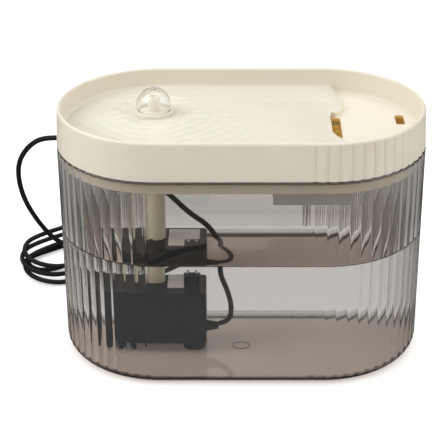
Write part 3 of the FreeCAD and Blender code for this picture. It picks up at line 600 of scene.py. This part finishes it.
def high_side_ring(radius, shift, z):
    """A loop round the high floor: up the step line, then round the left end."""
    back = min(radius, meeting_depth(radius, shift, 1))
    front = max(-radius, meeting_depth(radius, shift, -1))
    points = []
    for step in range(60):
        y = front + (back - front) * step / 60
        points.append(Vector((step_line(y, shift), y, z)))
    points.append(Vector((END_X, radius, z)))
    for step in range(61):
        angle = math.pi / 2 + math.pi * step / 60
        points.append(round_point(-END_X, 0.0, radius, angle, z))
    points.append(Vector((END_X, -radius, z)))
    return points


def rounded_rectangle(x, y, width, length, corner, z):
    """A level loop round a rounded rectangle."""
    points = []
    for turn, (side_x, side_y) in enumerate(((1, -1), (1, 1), (-1, 1), (-1, -1))):
        centre_x = x + side_x * (width / 2 - corner)
        centre_y = y + side_y * (length / 2 - corner)
        for step in range(7):
            angle = math.radians(90 * turn - 90 + 15 * step)
            points.append(round_point(centre_x, centre_y, corner, angle, z))
    return points


# The cord: its radius and its routes, in metres, with the same points as in the part's source
CORD_R = 1.7 * MM
GLAND_START = (-0.025, 0.003, 0.017)
EXIT_ANGLE = math.radians(168.0)
EXIT_Z = 0.1376
cord_exit = (-END_X + RIM_R * math.cos(EXIT_ANGLE), RIM_R * math.sin(EXIT_ANGLE), EXIT_Z)
inside_route = [
    GLAND_START,
    (-0.0085, 0.0026, 0.0180), (-0.0060, -0.0010, 0.0320), (-0.0090, -0.0060, 0.0470),
    (-0.0140, -0.0130, 0.0620), (-0.0125, -0.0210, 0.0780), (-0.0205, -0.0195, 0.0920),
    (-0.0335, -0.0115, 0.0970), (-0.0465, -0.0020, 0.1060), (-0.0620, 0.0035, 0.1165),
    (-0.0780, 0.0070, 0.1285), (-0.0950, 0.0092, 0.1376),
    cord_exit,
]
outside_route = [
    cord_exit,
    (-0.1270, 0.0160, 0.1373), (-0.1390, 0.0260, 0.1265), (-0.1480, 0.0380, 0.1100),
    (-0.1510, 0.0510, 0.0900), (-0.1495, 0.0650, 0.0670), (-0.1425, 0.0790, 0.0430),
    (-0.1330, 0.0895, 0.0240), (-0.1145, 0.0920, 0.0144),
]
COIL_PITCH = 4.2 * MM
COIL_LAYERS = 4
COIL_LEFT_R = 25.0 * MM
COIL_RIGHT_R = 15.0 * MM
COIL_BOW = math.radians(5.0)
COIL_START_SHARE = 0.3
COIL_FLOOR_Z = CORD_R + 0.05 * MM
coil_left_centres = [(-0.1330, 0.1010), (-0.1345, 0.0965), (-0.1320, 0.0925), (-0.1315, 0.0955)]
coil_right_centres = [(-0.0330, 0.1710), (-0.0345, 0.1680), (-0.0325, 0.1710), (-0.0340, 0.1685)]
PLUG_MIDDLE_Z = 4.0 * MM
RELIEF_START_U = 22.0 * MM
PLUG_V = -3.5 * MM


def run_between(centre_a, radius_a, centre_b, radius_b):
    """The places and headings where a bowed run leaves one round end and meets the next."""
    dx = centre_b[0] - centre_a[0]
    dy = centre_b[1] - centre_a[1]
    heading = math.atan2(dy, dx) - math.asin((radius_b - radius_a) / math.hypot(dx, dy))
    ends = []
    for centre, radius, bow in ((centre_a, radius_a, -COIL_BOW), (centre_b, radius_b, COIL_BOW)):
        angle = heading + bow
        place = Vector((centre[0] + radius * math.sin(angle), centre[1] - radius * math.cos(angle)))
        ends.append((place, angle))
    return ends


def run_guides(run, z, shares=(0.28, 0.72)):
    """Guide points along a bowed run, on the outer side of the line between its ends."""
    (start, _), (end, _) = run
    span = end - start
    side = Vector((span.y, -span.x)).normalized()
    points = []
    for share in shares:
        bulge = span.length * math.tan(COIL_BOW) * min(share, 1 - share)
        flat = start + span * share + side * bulge
        points.append((flat.x, flat.y, z))
    return points


def end_guides(centre, radius, heading_a, heading_b, z_a, z_b, count=5):
    """Guide points round a round end, from one heading to another to the left."""
    turn = (heading_b - heading_a) % (2 * math.pi)
    step = turn / count
    reach = radius / math.cos(step / 2)
    points = []
    for index in range(count):
        angle = heading_a + step * (index + 0.5)
        share = (index + 0.5) / count
        points.append((centre[0] + reach * math.sin(angle), centre[1] - reach * math.cos(angle),
                       z_a + (z_b - z_a) * share))
    return points


def coil_guides():
    """The coil's guide points, from its start on top to its end on the floor."""
    points = []
    for layer in range(COIL_LAYERS):
        z = COIL_FLOOR_Z + COIL_PITCH * (COIL_LAYERS - 1 - layer)
        right = coil_right_centres[layer]
        left = coil_left_centres[layer]
        before = coil_left_centres[max(layer - 1, 0)]
        front = run_between(before, COIL_LEFT_R, right, COIL_RIGHT_R)
        back = run_between(right, COIL_RIGHT_R, left, COIL_LEFT_R)
        points += run_guides(front, z, (COIL_START_SHARE + 0.03, 0.72) if layer == 0 else (0.28, 0.72))
        points += end_guides(right, COIL_RIGHT_R, front[1][1], back[0][1], z, z)
        points += run_guides(back, z)
        if layer < COIL_LAYERS - 1:
            ahead = run_between(left, COIL_LEFT_R, coil_right_centres[layer + 1], COIL_RIGHT_R)
            points += end_guides(left, COIL_LEFT_R, back[1][1], ahead[0][1], z, z - COIL_PITCH)
        else:
            end, angle = back[1]
            points.append((end.x, end.y, z))
    return points


def plug_point(u, v, z):
    """A point given along and across the coil, from the last loop's left centre."""
    x, y = coil_left_centres[-1]
    right = coil_right_centres[-1]
    angle = math.atan2(right[1] - y, right[0] - x)
    return (x + u * math.cos(angle) - v * math.sin(angle), y + u * math.sin(angle) + v * math.cos(angle), z)


tail_route = [
    plug_point(-0.0130, 0.0240, COIL_FLOOR_Z), plug_point(-0.0195, 0.0145, COIL_FLOOR_Z),
    plug_point(-0.0180, 0.0030, COIL_FLOOR_Z), plug_point(-0.0080, -0.0035, COIL_FLOOR_Z + 0.0003),
    plug_point(0.0040, -0.0050, PLUG_MIDDLE_Z - 0.0006), plug_point(0.0130, -0.0036, PLUG_MIDDLE_Z),
    plug_point(RELIEF_START_U, PLUG_V, PLUG_MIDDLE_Z),
]


def cord_curve(name, route, material):
    """A round cord along a smooth curve."""
    curve = bpy.data.curves.new(name, "CURVE")
    curve.dimensions = "3D"
    curve.bevel_depth = CORD_R
    curve.bevel_resolution = 5
    curve.resolution_u = 10
    curve.use_fill_caps = True
    spline = curve.splines.new("NURBS")
    spline.points.add(len(route) - 1)
    for point, place in zip(spline.points, route):
        point.co = (*place, 1.0)
    spline.order_u = 3
    spline.use_endpoint_u = True
    curve.materials.append(material)
    return new_object(name, curve)


def lay_floor():
    """A pale floor that glows a little where it is seen, and less under the tank."""
    bm = bmesh.new()
    bmesh.ops.create_grid(bm, x_segments=1, y_segments=1, size=3.0)
    floor = new_mesh_object("floor", bm)
    f = Finish("stage_white")
    away = f.from_outline()
    outside = f.rise(away, -0.010, 0.004, kind="SMOOTHSTEP")
    far = f.rise(away, 0.09, 0.17, kind="SMOOTHSTEP")
    glossy = f.ray("Glossy")
    through = f.ray("Transmission") * (1.0 - far * 0.55) * 1.5
    seen = f.ray("Camera").at_least(glossy * 0.05).at_least(through)
    # Painted dark reflection: the floor is near black where it is seen in reflections
    tone = f.ramp(glossy, [(0.0, (0.8, 0.8, 0.8)), (1.0, (0.03, 0.03, 0.03))])
    matt = f.surface({"Base Color": tone, "Roughness": 0.9, "Specular IOR Level": 0.1})
    shadowed = f.ramp(outside, [(0.0, (0.72, 0.61, 0.56)), (1.0, WHITE)])
    lift = f.node("ShaderNodeEmission", {}, {"Color": shadowed, "Strength": seen * 0.45})
    floor.data.materials.append(f.done(f.node("ShaderNodeAddShader", {}, {0: matt, 1: lift})))


def light_world(scene):
    """White where the camera sees it. Elsewhere it is brighter and cooler above than at the sides."""
    world = bpy.data.worlds.new("studio")
    world.use_nodes = True
    w = Nodes(world.node_tree)
    heading = w.node("ShaderNodeTexCoord", output="Generated")
    up = w.node("ShaderNodeSeparateXYZ", {}, {0: heading}, output="Z")
    sky = w.rise(up, 0.0, 1.0, (0.21, 0.85))
    warmth = w.ramp(up, [(0.0, (1.0, 0.87, 0.73)), (1.0, (0.94, 0.98, 1.0))])
    camera_ray = w.ray("Camera")
    shown = w.node("ShaderNodeMix", {"data_type": "RGBA"}, {
        0: camera_ray, 6: warmth, 7: (*WHITE, 1.0)}, output=2)
    bright = camera_ray.at_least(w.ray("Transmission") * 0.4)
    strength = w.node("ShaderNodeMix", {"data_type": "FLOAT"}, {0: bright, 2: sky, 3: 1.0})
    w.feed(world.node_tree.nodes["Background"], {"Color": shown, "Strength": strength})
    scene.world = world


def hang_lamps():
    """Three soft lamps that point at the middle of the tank."""
    for name, place, size, power, colour in (
        ("key", (-1.0, -0.25, 1.0), 0.9, 8.0, (1.0, 0.99, 0.97)),
        ("fill", (1.15, -0.25, 0.8), 1.0, 4.6, (1.0, 0.98, 0.95)),
        ("top", (0.1, 0.35, 1.5), 1.0, 4.6, (0.93, 0.97, 1.0)),
    ):
        lamp = bpy.data.lights.new(name, "AREA")
        lamp.color = colour
        lamp.size = size
        lamp.energy = power
        holder = new_object(name, lamp)
        holder.location = place
        aim = Vector((0.0, 0.0, 0.08)) - Vector(place)
        holder.rotation_euler = aim.to_track_quat("-Z", "Y").to_euler()


def place_camera(scene):
    """The camera as it was fitted to the photograph."""
    camera = bpy.data.cameras.new("photo_camera")
    camera.sensor_width = 36.0
    focal_pixels = 1498.0
    picture_pixels = 448.0
    middle_x_pixel = 241.3
    camera.lens = focal_pixels / picture_pixels * camera.sensor_width
    camera.shift_x = -(middle_x_pixel - picture_pixels / 2) / picture_pixels
    holder = new_object("photo_camera", camera)
    tilt = math.radians(26.55)
    distance = 0.973
    aim_height = 0.0827
    holder.location = (0.0, -distance * math.cos(tilt), aim_height + distance * math.sin(tilt))
    holder.rotation_euler = (math.pi / 2 - tilt, 0.0, 0.0)
    scene.camera = holder


class FOUNTAIN_OT_stage(bpy.types.Operator):
    """Lay the pale floor and set the lamps and the camera"""

    bl_idname = "fountain.stage"
    bl_label = "Stage"

    def execute(self, context):
        lay_floor()
        light_world(context.scene)
        hang_lamps()
        place_camera(context.scene)
        context.scene.view_settings.view_transform = "Standard"
        return {"FINISHED"}


class FOUNTAIN_OT_cords(bpy.types.Operator):
    """Lay the cord inside the tank, and the cord with its coil behind it"""

    bl_idname = "fountain.cords"
    bl_label = "Cords"

    def execute(self, context):
        material = black_finish("cord_black", (0.018, 0.018, 0.020), 0.34, 0.42, 3000.0)
        inside = cord_curve("inner_cord", inside_route, material)
        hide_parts("cord_inside")
        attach(inside, "tank")
        outside = cord_curve("usb_cord", outside_route + coil_guides() + tail_route, material)
        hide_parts("cord_outside", "cord_coil", "cord_tail")
        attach(outside, "tank")
        return {"FINISHED"}


class FOUNTAIN_OT_tank(bpy.types.Operator):
    """Model the clear ribbed tank"""

    bl_idname = "fountain.tank"
    bl_label = "Tank"

    def execute(self, context):
        sizes = context.scene.fountain_sizes
        fillet_r = BASE_R - TANK_FILLET
        rings = []
        for reach, up in arc_points((fillet_r, TANK_FILLET), TANK_FILLET, -88, 0, 8):
            rings.append(ring_points(reach, up, sizes.rib_depth * min(1.0, up / TANK_FILLET) ** 1.5))
        heights = (0.03, 0.06, 0.09, 0.12)
        rings += [ring_points(BASE_R + TANK_LEAN * z, z, sizes.rib_depth)
                  for z in (TANK_FILLET + LOOP_GAP, *heights, TANK_TOP - 1.2 * MM, TANK_TOP - 0.8 * MM)]
        rings += [ring_points(RIM_R - 0.25 * MM, TANK_TOP - 0.2 * MM, sizes.rib_depth),
                  ring_points(RIM_R - 0.8 * MM, TANK_TOP, sizes.rib_depth * 0.5)]
        inner_top = RIM_R - sizes.tank_wall
        inner_low = BASE_R - sizes.tank_wall
        fillet = TANK_FILLET - sizes.tank_wall
        fillet_top = sizes.tank_floor + fillet
        rings += [ring_points(inner_top + 0.4 * MM, TANK_TOP), ring_points(inner_top, TANK_TOP - 0.4 * MM)]
        rings += [ring_points(inner_low + TANK_LEAN * z, z)
                  for z in (TANK_TOP - 0.8 * MM, *reversed(heights), fillet_top + LOOP_GAP)]
        rings += [ring_points(reach, up) for reach, up in
                  arc_points((inner_low - fillet, fillet_top), fillet, 0, -88, 8)]
        rings.append(ring_points(inner_low - fillet - LOOP_GAP, sizes.tank_floor))
        tank = loft("tank_shell", rings, sharp_angle=60.0)
        material = tank_finish(tuple(sizes.smoke))
        finish_piece(tank, material, "tank", "tank")
        tank.data.materials.append(base_finish())
        underside_top = 0.7 * MM
        for face in tank.data.polygons:
            if face.center.z < underside_top:
                face.material_index = 1
        low = sizes.tank_floor - 0.1 * MM
        high = sizes.tank_floor + 0.35 * MM
        ring = [(4.9 * MM, low), (6.3 * MM, low), (6.2 * MM, high), (5.0 * MM, high)]
        mark = spun("gate_mark", ring, (0.0, 0.0), 48)
        finish_piece(mark, material, "tank", None)
        return {"FINISHED"}


class FOUNTAIN_OT_water(bpy.types.Operator):
    """Fill the tank with water"""

    bl_idname = "fountain.water"
    bl_label = "Water"

    def execute(self, context):
        sizes = context.scene.fountain_sizes
        overlap = 0.25 * MM
        wall_r = BASE_R - sizes.tank_wall + overlap
        fillet = TANK_FILLET - sizes.tank_wall + overlap
        low = sizes.tank_floor - overlap
        level = sizes.water_level
        top_r = wall_r + TANK_LEAN * level
        rings = [ring_points(reach, up) for reach, up in
                 arc_points((wall_r - fillet, low + fillet), fillet, -88, 0, 8)]
        rings += [ring_points(wall_r + TANK_LEAN * z, z)
                  for z in (low + fillet + LOOP_GAP, 0.03, 0.06, level + 0.6 * MM, level + 1.1 * MM)]
        for inset, rise in ((0.35, 1.0), (0.7, 0.62), (1.2, 0.33), (1.9, 0.13), (2.8, 0.03), (4.0, 0.0)):
            rings.append(ring_points(top_r - inset * MM, level + rise * MM))
        water = loft("tank_water", rings, sharp_angle=60.0)
        finish_piece(water, water_finish("tank_water", (0.96, 0.96, 0.95), level), "tank")
        return {"FINISHED"}


def tray_skin(collar_r, rib_depth):
    """The tray's outside with its collar, as one closed block."""
    lean = (TRAY_RIM_R - RIM_R) / (TRAY_TOP - TRAY_BASE_Z)
    soft = 0.4 * MM

    def outer(z, inset=0.0, rib=1.0):
        return ring_points(RIM_R + lean * (z - TRAY_BASE_Z) - inset, z, rib_depth * rib, tray=True)

    rings = [ring_points(collar_r - soft, COLLAR_BOTTOM), ring_points(collar_r, COLLAR_BOTTOM + soft),
             ring_points(collar_r, TRAY_BASE_Z), outer(TRAY_BASE_Z, 0.5 * MM, 0.6),
             outer(TRAY_BASE_Z + 0.15 * MM, 0.12 * MM, 0.9)]
    rings += [outer(TRAY_BASE_Z + rise * MM) for rise in (0.6, 6.0, 12.0, 18.0, 20.5)]
    for drop, inset, rib in ((3.0, 0.0, 0.85), (2.2, 0.0, 0.4), (1.5, 0.05, 0.1), (1.0, 0.18, 0.0),
                             (0.55, 0.45, 0.0), (0.2, 0.8, 0.0), (0.0, 1.2, 0.0)):
        rings.append(outer(TRAY_TOP - drop * MM, inset * MM, rib))
    return loft("tray_body", rings, sharp_angle=45.0)


def cut_basin(tray, floor_z, low_z):
    """Cut the tray down to its high floor, and its right part down to its low floor."""
    fillet_r = BASIN_LOW_R - BASIN_FILLET
    basin = [ring_points(reach, up) for reach, up in
             arc_points((fillet_r, floor_z + BASIN_FILLET), BASIN_FILLET, -89.5, 0, 7)]
    for drop, out in ((3.0, 0.0), (1.3, 0.06), (0.7, 0.3), (0.25, 0.72), (-0.02, 1.17), (-1.0, 1.2)):
        basin.append(ring_points(BASIN_TOP_R + out * MM, TRAY_TOP - drop * MM))
    carve(tray, loft("basin_cutter", basin))
    soft = 0.6 * MM
    low = []
    for reach, up in arc_points((fillet_r, low_z + BASIN_FILLET), BASIN_FILLET, -89.5, 0, 7):
        low.append(low_side_ring(reach, 0.5 * MM * max(0.0, 1 - (up - low_z) / soft), up))
    for rise, shift in ((0.0, -0.1), (0.35, -0.3), (0.55, -0.7), (0.62, -1.2)):
        z = floor_z - soft + rise * MM
        if z > low_z + BASIN_FILLET:
            low.append(low_side_ring(BASIN_LOW_R, shift * MM, z))
    low.append(low_side_ring(BASIN_LOW_R, -1.2 * MM, floor_z + BASIN_FILLET))
    carve(tray, loft("low_cutter", low))


def cut_underside(tray, inner_r, floor_z, low_z):
    """Hollow the tray from below, and cut its drains through its floors."""
    under = low_z - FLOOR_THICKNESS
    loops = [ring_points(inner_r, COLLAR_BOTTOM - MM), ring_points(inner_r, under)]
    carve(tray, loft("hollow_cutter", loops))
    loops = [high_side_ring(inner_r - 0.01 * MM, -FLOOR_THICKNESS, z)
             for z in (under - 0.5 * MM, floor_z - FLOOR_THICKNESS)]
    carve(tray, loft("high_cutter", loops))
    corner = 1.2 * MM
    for x, y, width, length in (DRAIN_SLOT, DRAIN_HOLE):
        loops = []
        for z, grow in ((under - MM, 0.0), (low_z - 0.3 * MM, 0.0), (low_z, 0.5), (floor_z + MM, 0.5)):
            loops.append(rounded_rectangle(
                x * MM, y * MM, (width + grow) * MM, (length + grow) * MM, corner, z))
        carve(tray, loft("slot_cutter", loops))


def cut_notch(tray):
    """Cut the collar open where the cord passes it."""
    half_width = 0.0029
    low = Vector((-0.114, -half_width, COLLAR_BOTTOM - MM))
    high = Vector((-0.110, half_width, EXIT_Z + half_width))
    end = Matrix.Translation((-END_X, 0, 0))
    turn = Matrix.Rotation(EXIT_ANGLE - math.pi, 4, "Z")
    block = Matrix.LocRotScale((low + high) / 2, None, high - low)
    bm = bmesh.new()
    bmesh.ops.create_cube(bm, size=1.0, matrix=end @ turn @ end.inverted() @ block)
    carve(tray, new_mesh_object("notch_cutter", bm))


def filter_frame(under):
    """The frame under the tray's floor that holds the filter box."""
    low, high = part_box("filter_box")
    gap = 0.3 * MM
    wall = 1.6 * MM
    corner = 2.2 * MM
    deep = 92.0 * MM
    wide = high.x - low.x
    middle_x = (low.x + high.x) / 2
    bottom = under - 9.2 * MM
    top = under + MM
    loops = []
    for grow, z in ((gap, bottom), (gap + wall, bottom), (gap + wall, top), (gap, top), (gap, bottom)):
        loops.append(rounded_rectangle(middle_x, 0.0, wide + 2 * grow, deep + 2 * grow, corner, z))
    return loft("filter_frame", loops, closed_on_itself=True)


class FOUNTAIN_OT_tray(bpy.types.Operator):
    """Model the drinking tray"""

    bl_idname = "fountain.tray"
    bl_label = "Tray"

    def execute(self, context):
        sizes = context.scene.fountain_sizes
        floor_z = sizes.tray_floor
        low_z = floor_z - sizes.tray_step
        collar_r = RIM_R - sizes.tank_wall - 0.4 * MM
        tray = tray_skin(collar_r, sizes.rib_depth * TRAY_RIB_SHARE)
        cut_basin(tray, floor_z, low_z)
        cut_underside(tray, collar_r - 2.0 * MM, floor_z, low_z)
        cut_notch(tray)
        tray.data.shade_smooth()
        tray.data.set_sharp_from_angle(angle=math.radians(35.0))
        # Painted bounce light: amber for the drains, which also shines by emission
        amber = (0.84, 0.52, 0.11)
        material = cream_finish("cream_plastic", tuple(sizes.cream), amber, low_z)
        finish_piece(tray, material, "tray", ("tray", "tray_collar"))
        socket = filter_frame(low_z - FLOOR_THICKNESS)
        # The socket's deep amber is painted bounce light on cream plastic
        warm = cream_finish("socket_painted_bounce", (0.87, 0.66, 0.34))
        finish_piece(socket, warm, "tray", "filter_socket")
        return {"FINISHED"}


class FOUNTAIN_OT_tray_water(bpy.types.Operator):
    """Lay the rippled sheet of water on the tray"""

    bl_idname = "fountain.tray_water"
    bl_label = "Tray water"

    def execute(self, context):
        sizes = context.scene.fountain_sizes
        radius = BASIN_LOW_R - 1.0 * MM
        film = 1.0 * MM
        sheet_thickness = 2.2 * MM
        rows = 150
        columns = 190

        def surface(x, y, edge):
            away = math.hypot(x - SPOUT_X, y - SPOUT_Y)
            bend = 5.0 * MM * noise.noise(Vector((x * 30, y * 30, 4.0)))
            rings = math.cos((away + bend) / MM * 0.85) * math.exp(-away / (38 * MM))
            swirl = noise.noise(Vector((x * 38, y * 38, 0.3)))
            near = math.exp(-away / (20 * MM))
            chop = noise.noise(Vector((x * 80, y * 260, 2.1)))
            ripple = sizes.ripple_height * math.tanh(0.8 * rings + 0.7 * swirl + 4.0 * near * chop)
            soft = min(1.0, edge / (2.5 * MM))
            return sizes.tray_floor + (film + ripple) * math.sqrt(max(soft, 0.0))

        bm = bmesh.new()
        grid = []
        for row in range(rows + 1):
            share = -math.cos(math.pi * row / rows)
            y = radius * 0.9995 * share
            chord = math.sqrt(radius ** 2 - y ** 2)
            left = -END_X - chord
            right = min(step_line(y, -1.0 * MM), END_X + chord)
            line = []
            for column in range(columns + 1):
                x = left + (right - left) * column / columns
                edge = min(right - x, x - left, radius - abs(y)) + 0.0002
                line.append(bm.verts.new((x, y, surface(x, y, edge))))
            grid.append(line)
        for near_line, far_line in zip(grid, grid[1:]):
            for column in range(columns):
                beside = column + 1
                bm.faces.new((near_line[column], near_line[beside], far_line[beside], far_line[column]))
        water = new_mesh_object("tray_water", bm, 80.0)
        thick = water.modifiers.new("depth", "SOLIDIFY")
        thick.thickness = sheet_thickness
        thick.offset = -1.0
        bake_modifiers(water)
        water.data.shade_smooth()
        finish_piece(water, water_finish("tray_water", (0.39, 0.44, 0.53), TRAY_TOP), "tray")
        return {"FINISHED"}


class FOUNTAIN_OT_spout(bpy.types.Operator):
    """Model the clear ball, its seat ring, the nozzle and the riser tube"""

    bl_idname = "fountain.spout"
    bl_label = "Spout"

    def execute(self, context):
        sizes = context.scene.fountain_sizes
        cream = cream_finish("cream_spout", tuple(sizes.cream))
        warm = cream_finish("cream_riser", (0.95, 0.90, 0.70))
        centre = (SPOUT_X, SPOUT_Y)
        floor_z = sizes.tray_floor
        seat_top = floor_z + 3.3 * MM
        ball_gap = 0.3 * MM
        hole_r = 1.6 * MM
        ball_r = (ball_high.x - ball_low.x) / 2
        inner_r = ball_r - 1.3 * MM
        ball_z = ball_high.z - ball_r
        above_seat = ball_z - seat_top - ball_gap
        start = -math.degrees(math.asin(above_seat / ball_r))
        hole = math.degrees(math.acos(hole_r / ball_r))
        outer = arc_points((0.0, ball_z), ball_r, start, hole, 30)
        inner_start = -math.degrees(math.asin(above_seat / inner_r))
        inner_hole = math.degrees(math.acos(hole_r / inner_r))
        inner = arc_points((0.0, ball_z), inner_r, inner_hole, inner_start, 26)
        ball = spun("spout_ball_clear", outer + inner, centre, 96, 50.0)
        finish_piece(ball, ball_finish(), "spout_ball", "spout_ball")

        seat_r = (nozzle_high.x - nozzle_low.x) / 2
        low = nozzle_low.z
        top = nozzle_high.z
        nozzle_bore = 2.7 * MM
        spigot_r = RISER_R - 1.25 * MM
        seat_low = floor_z - 0.5 * MM
        groove = seat_top - 1.4 * MM
        seat = [(nozzle_bore, low), (spigot_r - 0.3 * MM, low), (spigot_r, low + 0.3 * MM),
                (spigot_r, seat_low), (seat_r, seat_low), (seat_r, seat_top - MM)]
        seat += arc_points((seat_r - MM, seat_top - MM), MM, 10, 90, 5)
        seat += [(10.3 * MM, seat_top), (10.2 * MM, groove), (4.6 * MM, groove),
                 (4.0 * MM, seat_top - 0.8 * MM), (4.0 * MM, top - 0.5 * MM), (3.6 * MM, top),
                 (3.0 * MM, top), (nozzle_bore, top - 0.4 * MM)]
        ring = spun("spout_seat", seat, centre, 72)
        finish_piece(ring, cream, "tray", "spout_nozzle")

        bore = RISER_R - 1.2 * MM
        low = riser_low.z
        rounding = 0.6 * MM
        tube = [(bore, riser_high.z), (bore, low + 0.3 * MM), (bore + 0.3 * MM, low)]
        tube += arc_points((RISER_R - rounding, low + rounding), rounding, -90, 0, 4)
        tube += [(RISER_R, riser_high.z)]
        riser = spun("riser", tube, centre, 64)
        finish_piece(riser, warm, "tray", "riser_tube")
        return {"FINISHED"}


class FOUNTAIN_OT_hardware(bpy.types.Operator):
    """Finish the pump, the filter and the plug"""

    bl_idname = "fountain.hardware"
    bl_label = "Pump, filter and plug"

    def execute(self, context):
        black = tuple(context.scene.fountain_sizes.black)
        pump = black_finish("black_plastic", black, 0.38, 0.5, 1800.0)
        rubber = black_finish("black_rubber", darker(black, 0.9), 0.55, 0.7, 1200.0)
        finishes = {
            pump: ("pump_housing", "pump_head", "motor_end_cap", "intake_cover", "flow_slider",
                   "sensor_tower"),
            rubber: ("rim_grommet", "suction_feet", "cable_gland", "head_seal", "shaft_bush_front",
                     "shaft_bush_rear", "plug_relief", "plug_body"),
            plain_finish("label_sheet", (0.74, 0.72, 0.70), (0.78, 0.76, 0.74), 0.5):
                ("pump_label", "plug_tongue"),
            plain_finish("steel", (0.60, 0.60, 0.61), (0.68, 0.68, 0.68), 0.25, 1.0):
                ("sensor_pins", "plug_shell"),
            plain_finish("core_iron", (0.25, 0.25, 0.27), (0.35, 0.35, 0.36), 0.4, 0.9): ("stator_core",),
            plain_finish("coil_copper", (0.55, 0.22, 0.08), (0.68, 0.30, 0.12), 0.3, 0.9, 600.0):
                ("stator_coil",),
            plain_finish("shaft_ceramic", (0.84, 0.83, 0.8), (0.9, 0.89, 0.86), 0.15): ("impeller_shaft",),
            plain_finish("impeller_plastic", (0.75, 0.76, 0.78), (0.8, 0.81, 0.82), 0.35): ("impeller",),
            plain_finish("magnet", (0.06, 0.06, 0.065), (0.09, 0.09, 0.095), 0.5, 0.2): ("rotor_magnet",),
            granule_finish(): ("filter_granules",),
            filter_finish(): ("filter_box",),
        }
        for material, names in finishes.items():
            for name in names:
                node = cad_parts[name]
                node.data.materials.clear()
                node.data.materials.append(material)

        low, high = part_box("filter_felt")
        middle = (low + high) / 2
        size = high - low
        half_steps = 6
        loops = []
        for step in range(2 * half_steps + 1):
            lift = step / half_steps - 1
            z = middle.z + lift * size.z / 2 * 0.98
            pulled = 1.6 * MM * abs(lift) ** 4 + 0.2 * MM
            loops.append(rounded_rectangle(
                middle.x, middle.y, size.x - pulled, size.y - pulled, 3.0 * MM, z))
        felt = loft("felt_pad", loops, sharp_angle=70.0)
        needled = plain_finish("filter_felt", (0.82, 0.82, 0.79), (0.9, 0.9, 0.87), 0.95, 0.0, 700.0, 0.5)
        finish_piece(felt, needled, "filter_box", "filter_felt")
        return {"FINISHED"}


class FOUNTAIN_PT_panel(bpy.types.Panel):
    """The fountain's sizes and steps"""

    bl_label = "Pet water fountain"
    bl_idname = "FOUNTAIN_PT_panel"
    bl_space_type = "VIEW_3D"
    bl_region_type = "UI"
    bl_category = "Fountain"

    def draw(self, context):
        sizes = context.scene.fountain_sizes
        for name in FountainSizes.__annotations__:
            self.layout.prop(sizes, name)
        for step in STEPS:
            self.layout.operator(step.bl_idname)


STEPS = (FOUNTAIN_OT_stage, FOUNTAIN_OT_cords, FOUNTAIN_OT_tank, FOUNTAIN_OT_water, FOUNTAIN_OT_tray,
         FOUNTAIN_OT_tray_water, FOUNTAIN_OT_spout, FOUNTAIN_OT_hardware)
CLASSES = (FountainSizes, *STEPS, FOUNTAIN_PT_panel)


def register():
    for item in CLASSES:
        bpy.utils.register_class(item)
    bpy.types.Scene.fountain_sizes = bpy.props.PointerProperty(type=FountainSizes)


def unregister():
    del bpy.types.Scene.fountain_sizes
    for item in reversed(CLASSES):
        bpy.utils.unregister_class(item)


def main():
    """Build the whole fountain."""
    register()
    bpy.ops.fountain.stage()
    bpy.ops.fountain.cords()
    bpy.ops.fountain.tank()
    bpy.ops.fountain.water()
    bpy.ops.fountain.tray()
    bpy.ops.fountain.tray_water()
    bpy.ops.fountain.spout()
    bpy.ops.fountain.hardware()


if __name__ == "__main__":
    main()
